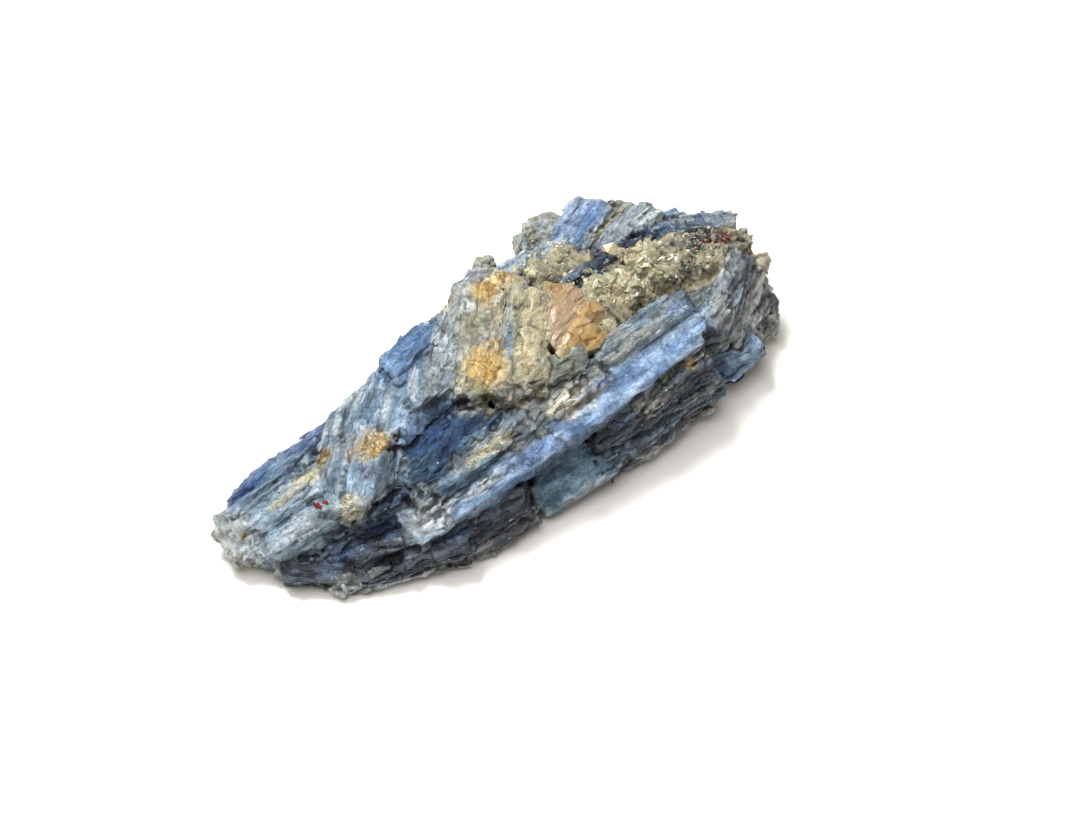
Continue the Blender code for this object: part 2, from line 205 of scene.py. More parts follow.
DEEP_MIDDLE = [
    crystal("deep_1", (-19, -3.5, 11.5), 14, 12, 8, (4.5, 4), 4, 0),
    crystal("deep_2", (-20, -7.5, 11), 15.5, 8, 11, (4, 4), 4, 8),
    crystal("deep_3", (-18.5, -10, 10.5), 14, 4, 10, (3.6, 4), 4, 0),
    crystal("deep_4", (-17.5, -0.5, 12), 8, 11, 7, (5, 5), 4, 0),
]

CENTRE = [
    crystal("centre_1", (-8, -0.5, 15.5), 19, 48, 1, (5, 5), 4, -4),
    crystal("centre_2", (-7, -4.5, 16), 23, 51, 1, (6, 6), 4, -2),
    crystal("centre_3", (-4, -7, 17), 21.5, 52, 0, (5, 5), 4, 2),
    crystal("centre_4", (-0.5, -7.5, 17.5), 17, 50, 0, (4.5, 4.5), 4, 4),
    crystal("cream_strip", (-21.5, -9.5, 10), 19, 0, 12, (3, 4), 3, 10),
    crystal("grey_fibre_1", (-6.5, -10.5, 12.5), 13.5, 9, 15, (4.5, 4), 4, 20),
    crystal("grey_fibre_2", (-2.5, -11, 13), 13, 2, 13, (4, 4), 4, 20),
    crystal("centre_lip", (-4.5, -6.5, 16.5), 14, -6, 4, (2.6, 3), 3, 15),
]

LONG_BLUE = [
    crystal("hero_tail", (-18, -14, 9.5), 22, 4, 9, (1.8, 6), 2, 0),
    crystal("hero_main", (-1, -12, 13), 27.5, 2, 6, (7.5, 6.5), 2.2, 0),
    crystal("hero_keel", (-20, -14, 8.5), 14.5, 2, 12, (1.6, 2), 2.5, 25),
    crystal("hero_chip", (25.5, -11.5, 15), 6, 15, 10, (3.5, 3), 3, -10),
    crystal("upper_grey", (10.5, -8, 16), 16, 0, 4, (3.5, 4), 3, -5),
    crystal("pale_patch", (-24, -11.5, 7.5), 10, -9, 12, (5.5, 4), 3, 12),
]

FRONT_FLANK = [
    crystal("flank_a1", (-35, -7, 3), 17, -11, 17, (4.6, 5), 4, 50),
    crystal("flank_a2", (-33.5, -9.5, 2.5), 18.5, -21, 11, (4.6, 5), 4, 44),
    crystal("flank_lip", (-33.5, -10.5, 1), 18, -21, 5, (2.6, 3), 3, 20),
    crystal("flank_a3", (-22, -13.5, 4.5), 15, -12, 13, (5, 5), 4, 50),
    crystal("flank_a4", (-19.5, -16, 2.5), 13.5, -4, 6, (3.6, 4), 4, 40),
    crystal("plate_steel", (-5.5, -16, 4), 14, -4, 12, (6.5, 6.5), 3.5, 42),
    crystal("flank_b1", (4, -16.5, 9.5), 20, 0, 9, (4, 4.4), 4, 55),
    crystal("flank_b2", (4, -17, 6.5), 22, 1, 5, (5, 5), 4, 50),
    crystal("flank_b3", (5.5, -17, 3), 19.5, 3, 4, (4, 4), 4, 35),
    crystal("flank_b_blue", (27.5, -14.5, 5.5), 7, 0, 17, (4.6, 5), 4, 35),
    crystal("flank_b4", (11.5, -16.5, 11), 14, 6, 12, (3.4, 3.6), 3, 60),
]

RIGHT_END = right_end()

TOP_EDGE = [
    crystal("top_blue_1", (15.5, 9.5, 15), 14, 26, -2, (5, 6), 4, -8),
    crystal("top_olive", (22, 8.5, 14.5), 10.5, 25, -3, (3.6, 4.2), 4, -4),
    crystal("top_silver", (22, 6.5, 16), 12, 17, -5, (2.4, 2.4), 3, 0),
    crystal("top_blue_2", (29, 6, 15.5), 8.5, -3, -10, (4.4, 4.4), 4, -10),
    crystal("top_tan", (34, 4.5, 15), 10, -21, -12, (4.6, 4.6), 4, -10),
    crystal("top_rim", (35.5, 0.5, 14), 8.5, -42, -17, (4.4, 4.4), 4, 0),
    crystal("dark_band_1", (13, 4, 15.5), 14.5, 0, 2, (3, 3), 3, 0),
    crystal("dark_band_2", (25, 3.5, 16), 16.5, -18, -5, (3, 3), 3, 0),
    crystal("glass_flake", (28.5, 7, 16), 5, 18, -6, (3, 3), 1.5, -30),
]

BACK_FLANK = [
    crystal("back_1", (-30, 6, 7), 25, 13, 9, (5, 6), 5, -55),
    crystal("back_2", (-29, 7.5, 3), 31.5, 11, 5, (5, 6), 5, -68),
    crystal("back_3", (-8, 12, 11), 26, 8, 2, (5, 5), 5, -50),
    crystal("back_4", (-4, 14, 6.5), 26.5, 10, 2, (6, 6), 5, -66),
    crystal("back_5", (16, 14.5, 11.5), 22, -20, 1, (5, 5), 5, -50),
    crystal("back_6", (17, 18, 7), 25.5, -27, 2, (6, 5), 5, -66),
    crystal("back_7", (12, 18, 2.5), 27, -22, 1, (5, 4), 5, -78),
    crystal("back_8", (-20, 9.5, 1.5), 37, 12, 2, (4, 5), 5, -80),
    crystal("back_9", (0, 13, 9.5), 25, 6, 0, (5, 5), 5, -60),
    crystal("back_end_a", (30, 8, 5), 12, -31, 12, (5, 5), 5, -40),
    crystal("back_end_b", (31, 6, 1.5), 13, -32, 7, (5, 4), 5, -62),
]

CORE = [
    crystal("core_low", (-33, -1, 6), 69, 0, 2, (13, 21), 9, 0),
    crystal("core_front", (-30, -9, 4.5), 64, -2, 2, (7, 9), 6, 16),
    crystal("core_back", (-24, 5, 9), 58, 2, 2, (9, 15), 11, -8),
    crystal("core_high", (-22, -4, 10.5), 56, 0, 3, (12, 15), 8, 0),
    crystal("core_back_end", (2, 11, 9), 28, -4, 2, (10, 13), 10, -10),
    crystal("core_right", (18, -3, 9), 18, 0, -2, (19, 12), 9, 0),
]

QUARTZ = [
    Lump("quartz_back_a", (19.5, 16, 8.5), (5, 4.3, 4.5), 0.9),
    Lump("quartz_back_b", (16.5, 8.5, 11), (5.5, 5, 5), 0.8),
    Lump("granular_a", (18.5, 0.5, 12), (7, 5, 5), 0.7),
    Lump("granular_b", (27, 1, 12.5), (8, 5, 4.5), 0.7),
    Lump("granular_c", (34.5, -1.5, 11.5), (7, 5, 4), 0.7),
    Lump("peach_quartz", (12, -1.5, 12.5), (6, 5.5, 4.6), 0.7),
]
NUBS = [
    Lump("arm_end_quartz", (-41.8, 3, 3.4), (2.6, 4.5, 2.6), 0.9),
    Lump("arm_nub", (-38.5, -4, 1.8), (1.6, 1.4, 1.4), 0.9),
    Lump("lip_nub", (-33, -10.5, 1.3), (1.8, 1.6, 1.5), 0.9),
    Lump("fan_knob", (7.5, 14.3, 14.4), (1.8, 1.6, 1.6), 0.9),
    Lump("flank_knob", (-6.5, -15.8, 3), (1.8, 1.6, 1.6), 0.9),
    Lump("rim_nub_a", (41.3, -2, 11.8), (1.8, 1.8, 1.6), 0.9),
    Lump("rim_nub_b", (41.6, -6, 10.6), (1.6, 1.6, 1.6), 0.9),
    Lump("end_nub", (39.5, -10.5, 3.2), (2.2, 2.0, 2.2), 0.9),
    Lump("end_rock_a", (36.5, 1.5, 7), (5.5, 5.5, 5), 1.0),
    Lump("end_rock_b", (37, -5, 3.5), (5.5, 5, 4.5), 1.0),
]

# The minerals' colours, 0 to 255.
NAVY = (16, 40, 76)
INDIGO = (60, 88, 136)
DEEP = (34, 66, 106)
BLUE = (86, 120, 164)
SKY = (142, 165, 190)
DUSTY = (106, 132, 152)
PALE = (160, 172, 180)
PEARL = (188, 196, 200)
STEEL = (64, 98, 122)
SLATE = (84, 98, 112)
CHARCOAL = (50, 56, 66)
BLACK = (20, 20, 24)
ASH = (130, 134, 130)
MOSS = (100, 104, 92)
OLIVE = (148, 146, 120)
SAND = (174, 164, 132)
CREAM = (204, 196, 158)
OCHRE = (178, 150, 92)
ORANGE = (188, 158, 96)
RUST = (160, 124, 62)
PEACH = (184, 160, 132)
MILK = (214, 208, 186)
RED = (84, 18, 14)
GARNET_RED = (110, 22, 18)
# The colours of the painted highlight on edges and of the painted pearly sheen.
EDGE_HIGHLIGHT = (200, 206, 208)
PEARL_SHEEN = (196, 204, 208)
VEIN_DARK = (40, 52, 76)

LOOKS = {
    "arm_plate": Look(PALE, DUSTY, 0.5, 0.16, 1.2),
    "arm_indigo": Look(INDIGO, DUSTY, 0.5, 0.16, 0.9),
    "arm_rim": Look(PALE, DUSTY, 0.45, 0.18, 1.2),
    "arm_dark_edge": Look(SLATE, CHARCOAL, 0.4, 0.2, 0.8),
    "arm_ridge_a": Look(PALE, DUSTY, 0.4, 0.14, 1.6),
    "arm_ridge_b": Look(PALE, DUSTY, 0.45, 0.16, 1.4),
    "arm_foot": Look(SLATE, CHARCOAL, 0.4, 0.3, 1.4),
    "fan_1": Look(DUSTY, PALE, 0.45, 0.18, 1.0),
    "fan_2": Look(DUSTY, PALE, 0.45, 0.2, 1.2),
    "fan_3": Look(DUSTY, SKY, 0.45, 0.2, 1.4),
    "fan_4": Look(DUSTY, SKY, 0.45, 0.2, 1.6),
    "fan_5": Look(DUSTY, PALE, 0.45, 0.2, 1.6),
    "fan_6": Look(PALE, ASH, 0.45, 0.2, 1.4),
    "fan_blue": Look(BLUE, DUSTY, 0.5, 0.14, 1.4),
    "deep_1": Look(DEEP, NAVY, 0.4, 0.26, 2.0),
    "deep_2": Look(NAVY, STEEL, 0.4, 0.26, 2.0),
    "deep_3": Look(STEEL, NAVY, 0.4, 0.26, 2.0),
    "deep_4": Look(DEEP, CHARCOAL, 0.4, 0.26, 1.8),
    "centre_1": Look(PALE, ASH, 0.4, 0.18, 1.4),
    "centre_2": Look(OLIVE, PALE, 0.4, 0.18, 1.4),
    "centre_3": Look(SAND, ASH, 0.4, 0.18, 1.2),
    "centre_4": Look(SAND, OLIVE, 0.4, 0.16, 1.2),
    "cream_strip": Look(ASH, DUSTY, 0.35, 0.2, 1.4),
    "grey_fibre_1": Look(ASH, SLATE, 0.28, 0.2, 1.6),
    "grey_fibre_2": Look(DUSTY, OLIVE, 0.28, 0.2, 1.6),
    "centre_lip": Look(ASH, MOSS, 0.35, 0.14, 1.0),
    "hero_tail": Look(BLUE, SKY, 0.6, 0.1, 1.0),
    "hero_main": Look(BLUE, SKY, 0.7, 0.1, 1.2),
    "hero_keel": Look(PALE, SLATE, 0.35, 0.14, 1.2),
    "hero_chip": Look(DUSTY, ASH, 0.4, 0.3, 1.6),
    "upper_grey": Look(DUSTY, ASH, 0.6, 0.12, 1.4),
    "pale_patch": Look(DUSTY, PEARL, 0.45, 0.2, 1.6),
    "flank_a1": Look(NAVY, SLATE, 0.4, 0.36, 1.6),
    "flank_a2": Look(SLATE, CHARCOAL, 0.4, 0.36, 1.8),
    "flank_lip": Look(ASH, PALE, 0.4, 0.2, 1.2),
    "flank_a3": Look(SLATE, CHARCOAL, 0.35, 0.36, 1.8),
    "flank_a4": Look(ASH, CHARCOAL, 0.35, 0.36, 1.6),
    "plate_steel": Look(STEEL, DUSTY, 0.6, 0.12, 1.2),
    "flank_b1": Look(SLATE, CHARCOAL, 0.35, 0.36, 1.8),
    "flank_b2": Look(DUSTY, CHARCOAL, 0.35, 0.36, 1.8),
    "flank_b3": Look(SLATE, ASH, 0.35, 0.36, 1.6),
    "flank_b_blue": Look(INDIGO, DUSTY, 0.5, 0.16, 1.0),
    "flank_b4": Look(MOSS, ASH, 0.3, 0.36, 1.6),
    "end_1": Look(PALE, CHARCOAL, 0.3, 0.36, 1.4),
    "end_2": Look(PEARL, MOSS, 0.3, 0.36, 1.4),
    "end_3": Look(PEARL, CHARCOAL, 0.3, 0.36, 1.2),
    "end_4": Look(ASH, CHARCOAL, 0.35, 0.36, 1.0),
    "top_blue_1": Look(BLUE, PALE, 0.45, 0.16, 1.0),
    "top_olive": Look(OLIVE, ASH, 0.35, 0.24, 1.2),
    "top_silver": Look(PALE, SLATE, 0.4, 0.14, 1.0),
    "top_blue_2": Look(BLUE, PALE, 0.45, 0.18, 1.0),
    "top_tan": Look(DUSTY, ASH, 0.4, 0.22, 1.2),
    "top_rim": Look(SAND, ASH, 0.35, 0.24, 1.2),
    "dark_band_1": Look(DEEP, CHARCOAL, 0.3, 0.26, 1.6),
    "dark_band_2": Look(CHARCOAL, BLACK, 0.3, 0.26, 1.6),
    "glass_flake": Look(PEARL, PALE, 0.7, 0.06, 0.6),
    "back_1": Look(DUSTY, PALE, 0.45, 0.24, 1.6),
    "back_2": Look(SLATE, DUSTY, 0.45, 0.24, 1.8),
    "back_3": Look(DUSTY, PALE, 0.45, 0.24, 1.6),
    "back_4": Look(SLATE, ASH, 0.45, 0.24, 1.8),
    "back_5": Look(DUSTY, ASH, 0.45, 0.24, 1.6),
    "back_6": Look(SLATE, ASH, 0.45, 0.24, 1.8),
    "back_9": Look(DUSTY, ASH, 0.45, 0.24, 1.8),
}
PLAIN = Look(SLATE, ASH, 0.5, 0.26, 1.4)
INNER = Look(SLATE, MOSS, 1.1, 0.3, 1.2)
SAND_LUMP = (SAND, OLIVE)
GREY_LUMP = (PALE, OLIVE)
GREY_LUMPS = (
    "arm_end_quartz", "arm_nub", "lip_nub", "flank_knob", "quartz_back_a", "end_nub", "fan_knob"
)

STAINS_AND_PAINTED_LIGHT = [
    StainOrPaintedLight("pale broken end", "arm_plate", 0.0, 0.2, 5, 8, PEARL, 0.6),
    StainOrPaintedLight("rust speck", "arm_plate", 0.03, 0.0, 1.6, 1.0, RUST, 0.6),
    StainOrPaintedLight("sand in the groove", "arm_plate", 0.5, 0.55, 5, 2.2, CREAM, 0.8),
    StainOrPaintedLight("orange in the groove", "arm_plate", 0.63, 0.8, 3, 2, ORANGE, 0.9),
    # Painted shade: a black pit.
    StainOrPaintedLight("pit beside it", "arm_plate", 0.6, 1.15, 1.4, 1.0, BLACK, 1.0),
    StainOrPaintedLight("cream run", "arm_ridge_a", 0.4, 0.0, 4, 1.4, CREAM, 0.6),
    StainOrPaintedLight("pearly band", "arm_ridge_b", 0.35, 0.0, 10, 3, PALE, 0.5),
    StainOrPaintedLight("cream lump", "arm_ridge_b", 0.85, -0.7, 4, 3, CREAM, 0.85),
    StainOrPaintedLight("ochre", "arm_plate", 0.88, 0.2, 6, 5, OCHRE, 1.0),
    StainOrPaintedLight("ochre heart", "arm_plate", 0.93, 0.2, 3, 2.4, RUST, 0.6),
    StainOrPaintedLight("grey flat", "fan_2", 0.28, -1.2, 5, 5, CHARCOAL, 0.7),
    # Painted shade: a black hollow in the fan.
    StainOrPaintedLight("hollow", "fan_2", 0.42, -1.45, 3, 1.6, BLACK, 0.9),
    StainOrPaintedLight("blue of the fan", "fan_blue", 0.6, 0.0, 7, 3.6, BLUE, 0.8),
    StainOrPaintedLight("blue in the fan", "fan_4", 0.5, 0.6, 6, 3.4, BLUE, 0.6),
    StainOrPaintedLight("pearly streak", "fan_3", 0.6, 0.0, 7, 1.2, PEARL, 0.6),
    StainOrPaintedLight("pearly streak above", "fan_4", 0.8, -0.6, 6, 1.2, PEARL, 0.6),
    StainOrPaintedLight("weathered rim", "fan_5", 0.95, 0.0, 5, 3, SAND, 0.5),
    StainOrPaintedLight("blue on the grey blade", "upper_grey", 0.9, -0.6, 8, 2.4, BLUE, 0.6),
    StainOrPaintedLight("grey shoulder", "centre_1", 0.35, 0.6, 10, 4, PALE, 0.7),
    StainOrPaintedLight("olive shoulder", "centre_2", 0.5, 0.6, 9, 4, OLIVE, 0.75),
    StainOrPaintedLight("olive foot", "centre_2", 0.1, 0.0, 7, 6, OLIVE, 0.75),
    StainOrPaintedLight("blue seam", "centre_3", 0.43, 0.0, 8, 1.4, DUSTY, 0.75),
    StainOrPaintedLight("sandy face", "centre_4", 0.6, 0.0, 12, 3.4, SAND, 0.7),
    StainOrPaintedLight("sandy top", "centre_3", 0.92, 0.5, 8, 4, SAND, 0.75),
    StainOrPaintedLight("orange top", "centre_3", 0.97, 0.4, 4, 2.2, ORANGE, 0.75),
    StainOrPaintedLight("upper orange", "centre_2", 0.78, 0.0, 5.4, 4, ORANGE, 1.0),
    StainOrPaintedLight("upper orange heart", "centre_2", 0.76, -0.2, 2.2, 1.3, RUST, 0.7),
    StainOrPaintedLight("lower orange", "centre_2", 0.22, -0.3, 7.5, 5.4, ORANGE, 1.0),
    StainOrPaintedLight("lower orange heart", "centre_2", 0.16, -0.4, 3, 2, RUST, 0.7),
    StainOrPaintedLight("deep blue wall", "deep_1", 0.4, -0.2, 9, 6, DEEP, 0.7),
    StainOrPaintedLight("dark wall", "deep_4", 0.75, -0.6, 4.4, 2.6, NAVY, 0.8),
    StainOrPaintedLight("dark floor", "deep_2", 0.5, 0.0, 10, 2.4, NAVY, 0.9),
    StainOrPaintedLight("indigo tip", "deep_1", 0.85, 0.9, 5, 2, INDIGO, 0.8),
    StainOrPaintedLight("grey knob", "deep_2", 0.82, 0.9, 3, 2, ASH, 0.7),
    StainOrPaintedLight("cream strip", "cream_strip", 0.66, -0.4, 8, 1.4, CREAM, 0.7),
    # Painted highlight: a white line along the tail.
    StainOrPaintedLight("white tail", "hero_tail", 0.25, 0.2, 7, 1.4, PEARL, 0.75),
    StainOrPaintedLight("periwinkle", "hero_tail", 0.62, -0.4, 6, 2.6, INDIGO, 0.6),
    StainOrPaintedLight("blue beside the long blade", "grey_fibre_2", 0.7, -0.7, 10, 2.6, BLUE, 0.8),
    StainOrPaintedLight("pearl on the blue", "hero_main", 0.2, 0.2, 7, 4.4, MILK, 1.0),
    # Painted shadows: dark lines under the long blue blade and under its tail.
    StainOrPaintedLight("dark line under the blade", "hero_main", 0.35, -1.25, 22, 1.0, BLACK, 0.8),
    StainOrPaintedLight("dark line under the tail", "hero_tail", 0.6, -1.4, 14, 1.0, BLACK, 0.7),
    StainOrPaintedLight("light end", "hero_main", 0.93, 0.3, 9, 4, SKY, 0.7),
    StainOrPaintedLight("white patch", "pale_patch", 0.4, 0.0, 7, 3, PEARL, 0.8),
    StainOrPaintedLight("navy seam", "flank_a1", 0.62, 0.0, 8, 2.4, NAVY, 0.85),
    StainOrPaintedLight("dark blue end", "flank_a1", 0.2, 0.0, 7, 2.4, DEEP, 0.7),
    StainOrPaintedLight("navy foot", "flank_a3", 0.25, 0.0, 8, 1.8, NAVY, 0.7),
    StainOrPaintedLight("steel heart", "plate_steel", 0.4, 0.5, 9, 2.6, STEEL, 0.6),
    StainOrPaintedLight("steel rim", "plate_steel", 0.45, -0.85, 12, 1.6, PALE, 0.75),
    StainOrPaintedLight("green flank", "flank_b1", 0.5, 0.0, 13, 2.2, MOSS, 0.6),
    StainOrPaintedLight("blue hollow", "flank_b1", 0.3, 0.2, 4, 1.6, DEEP, 0.8),
    StainOrPaintedLight("pale foot", "flank_b2", 0.85, -0.3, 12, 1.8, ASH, 0.6),
    StainOrPaintedLight("gold speck", "flank_b4", 0.7, 0.2, 2, 1.4, OCHRE, 0.9),
    StainOrPaintedLight("dark mouth", "dark_band_2", 0.5, -0.4, 10, 2.4, CHARCOAL, 0.7),
    StainOrPaintedLight("red mouth", "dark_band_2", 0.85, 0.0, 5, 1.6, RED, 0.95),
    # Painted shade: three black pits along the dark band.
    StainOrPaintedLight("first pit", "dark_band_2", 0.2, -1.6, 3, 1.4, BLACK, 0.9),
    StainOrPaintedLight("second pit", "dark_band_2", 0.55, -1.2, 2.6, 1.4, BLACK, 0.9),
    StainOrPaintedLight("last pit", "dark_band_2", 0.95, -1.0, 3, 1.4, BLACK, 0.9),
    StainOrPaintedLight("blue band", "dark_band_1", 0.2, 0.7, 6.5, 2.6, SLATE, 0.8),
    StainOrPaintedLight("blue wedge", "top_blue_1", 0.6, 0.0, 10, 4, BLUE, 0.6),
    StainOrPaintedLight("pink rim", "top_rim", 0.9, 0.0, 2.6, 1.8, PEACH, 0.7),
]


def linear(colour):
    """A 0 to 255 screen colour as linear light."""
    share = np.asarray(colour, float) / 255.0
    return np.where(share <= 0.04045, share / 12.92, ((share + 0.055) / 1.055) ** 2.4)


# ---------------------------------------------------------------- noise

LATTICE = np.random.default_rng(7).random(8192)


def corner(ix, iy, iz):
    """The random value at a corner of the noise's lattice, from 0 to 1."""
    mixed = (ix * 73856093) ^ (iy * 19349663) ^ (iz * 83492791)
    return LATTICE[mixed & 8191]


def noise_at(x, y, z=0.0):
    """Smooth noise from -1 to 1."""
    x, y, z = np.broadcast_arrays(np.asarray(x, float), np.asarray(y, float), np.asarray(z, float))
    cells = [np.floor(value).astype(np.int64) for value in (x, y, z)]
    parts = [value - cell for value, cell in zip((x, y, z), cells)]
    eased = [part * part * (3 - 2 * part) for part in parts]
    total = np.zeros(x.shape)
    for dx in (0, 1):
        for dy in (0, 1):
            for dz in (0, 1):
                weight = (eased[0] if dx else 1 - eased[0])
                weight = weight * (eased[1] if dy else 1 - eased[1])
                weight = weight * (eased[2] if dz else 1 - eased[2])
                total += weight * corner(cells[0] + dx, cells[1] + dy, cells[2] + dz)
    return 2 * total - 1


def patches(along, across, length, width, seed):
    """Noise in patches of this length and width, in millimetres."""
    return noise_at(along / length, across / width, seed)


def seed_of(name):
    """A number of its own for each name."""
    total = 0
    for letter in name:
        total = (total * 31 + ord(letter)) % 100003
    return total


def eased_step(value, low, high):
    """Rises smoothly from 0 at low to 1 at high."""
    share = np.clip((value - low) / (high - low), 0, 1)
    return share * share * (3 - 2 * share)


# ---------------------------------------------------------------- small shapes


def arrays_of(shape):
    """The points and triangles of a bmesh, which is freed."""
    shape.verts.index_update()
    points = np.array([vertex.co[:] for vertex in shape.verts])
    tris = np.array([[vertex.index for vertex in face.verts] for face in shape.faces])
    shape.free()
    return points, tris


def hull_of(places):
    """The convex hull of some places, as a bmesh."""
    shape = bmesh.new()
    for place in places:
        shape.verts.new(place)
    bmesh.ops.convex_hull(shape, input=shape.verts)
    loose = [vertex for vertex in shape.verts if not vertex.link_faces]
    bmesh.ops.delete(shape, geom=loose, context="VERTS")
    return shape


# ---------------------------------------------------------------- rough blocks, one a crystal


def length_of(blade):
    """From the middle of one end to the middle of the other."""
    return float(np.linalg.norm(np.array(blade.end, float) - np.array(blade.start, float)))


def blade_axes(blade):
    """Directions along the blade, across its face, and out of its face."""
    along = (Vector(blade.end) - Vector(blade.start)).normalized()
    level = Vector((0, 0, 1)).cross(along).normalized()
    up = along.cross(level)
    roll = math.radians(blade.roll)
    across = level * math.cos(roll) + up * math.sin(roll)
    out = up * math.cos(roll) - level * math.sin(roll)
    return np.array(along), np.array(across), np.array(out)


def raised_laths(blade):
    """The same raised laths that the solid has: place, width, first, last, height, yaw."""
    mean_width = 0.5 * (blade.widths[0] + blade.widths[1])
    chance = random.Random(blade.name + "_laths")
    count = max(1, round(mean_width / RIDGE_SPACING))
    calm = blade.name in CALM_BLADES
    if calm:
        count = 2
    made = []
    for index in range(count):
        place = ((index + chance.uniform(0.2, 0.8)) / count - 0.5) * mean_width * 0.9
        width = mean_width / count * chance.uniform(0.45, 0.8)
        first = chance.uniform(-0.02, 0.25)
        last = chance.uniform(0.75, 1.02)
        height = chance.uniform(*RIDGE_HEIGHT) * (CALM_HEIGHT if calm else 1.0)
        yaw = math.radians(chance.uniform(-RIDGE_YAW, RIDGE_YAW))
        for _ in range(4):  # the solid's own slants, left out here
            chance.uniform(-END_SLANT, END_SLANT)
        made.append((place, width, first, last, height, yaw))
    return made


def ridge_height(laths, share, offset, length, seed):
    """How far the raised laths lift the face at a share of the length and an offset from the middle."""
    lift = np.zeros(np.broadcast(share, offset).shape)
    for index, (place, width, first, last, height, yaw) in enumerate(laths):
        middle = place + math.tan(yaw) * (share - 0.5 * (first + last)) * length
        fray = 0.12 * noise_at(share * length / 1.5, offset * 1.4, seed + index * 9.0)
        inside = np.abs(offset - middle) < 0.5 * width * (1 - 0.2 * share) + fray
        run = (share > first + 0.06 * fray) & (share < last + 0.5 * fray)
        lift = np.maximum(lift, np.where(inside & run, height, 0.0))
    return lift


class Blocks:
    """Points and faces of shapes, gathered one shape at a time."""

    def __init__(self):
        self.points = []
        self.quads = []
        self.tris = []
        self.count = 0

    def add(self, points, quads=(), tris=()):
        for kept, faces in ((self.quads, quads), (self.tris, tris)):
            if len(faces):
                kept.append(np.asarray(faces) + self.count)
        self.points.append(points)
        self.count += len(points)


def laths_of(blade, look, rng):
    """The laths of a face: edges and middles as shares of its width, heights, tilts, broken ends."""
    seed = seed_of(blade.name)
    mean_width = 0.5 * (blade.widths[0] + blade.widths[1])
    count = max(3, int(round(mean_width / look.lath)))
    shares = rng.gamma(2.2, 1.0, count) + 0.25
    edges = np.concatenate([[0.0], np.cumsum(shares)]) / shares.sum() - 0.5
    middles = 0.5 * (edges[:-1] + edges[1:])
    own = rng.normal(0, 0.35 * look.step, count)
    tilt = rng.normal(0, 0.08, count) * (edges[1:] - edges[:-1]) * mean_width
    rounding = 0.25 * mean_width * np.abs(2 * middles) ** 3
    ends = []
    for slice_at in (1.5, 7.5):
        broken = 0.55 * rng.random(count) ** 2 + 0.35 * noise_at(middles * 5, seed, slice_at)
        ends.append(rounding + look.ragged * broken)
    return Laths(edges, middles, own, tilt, *ends)


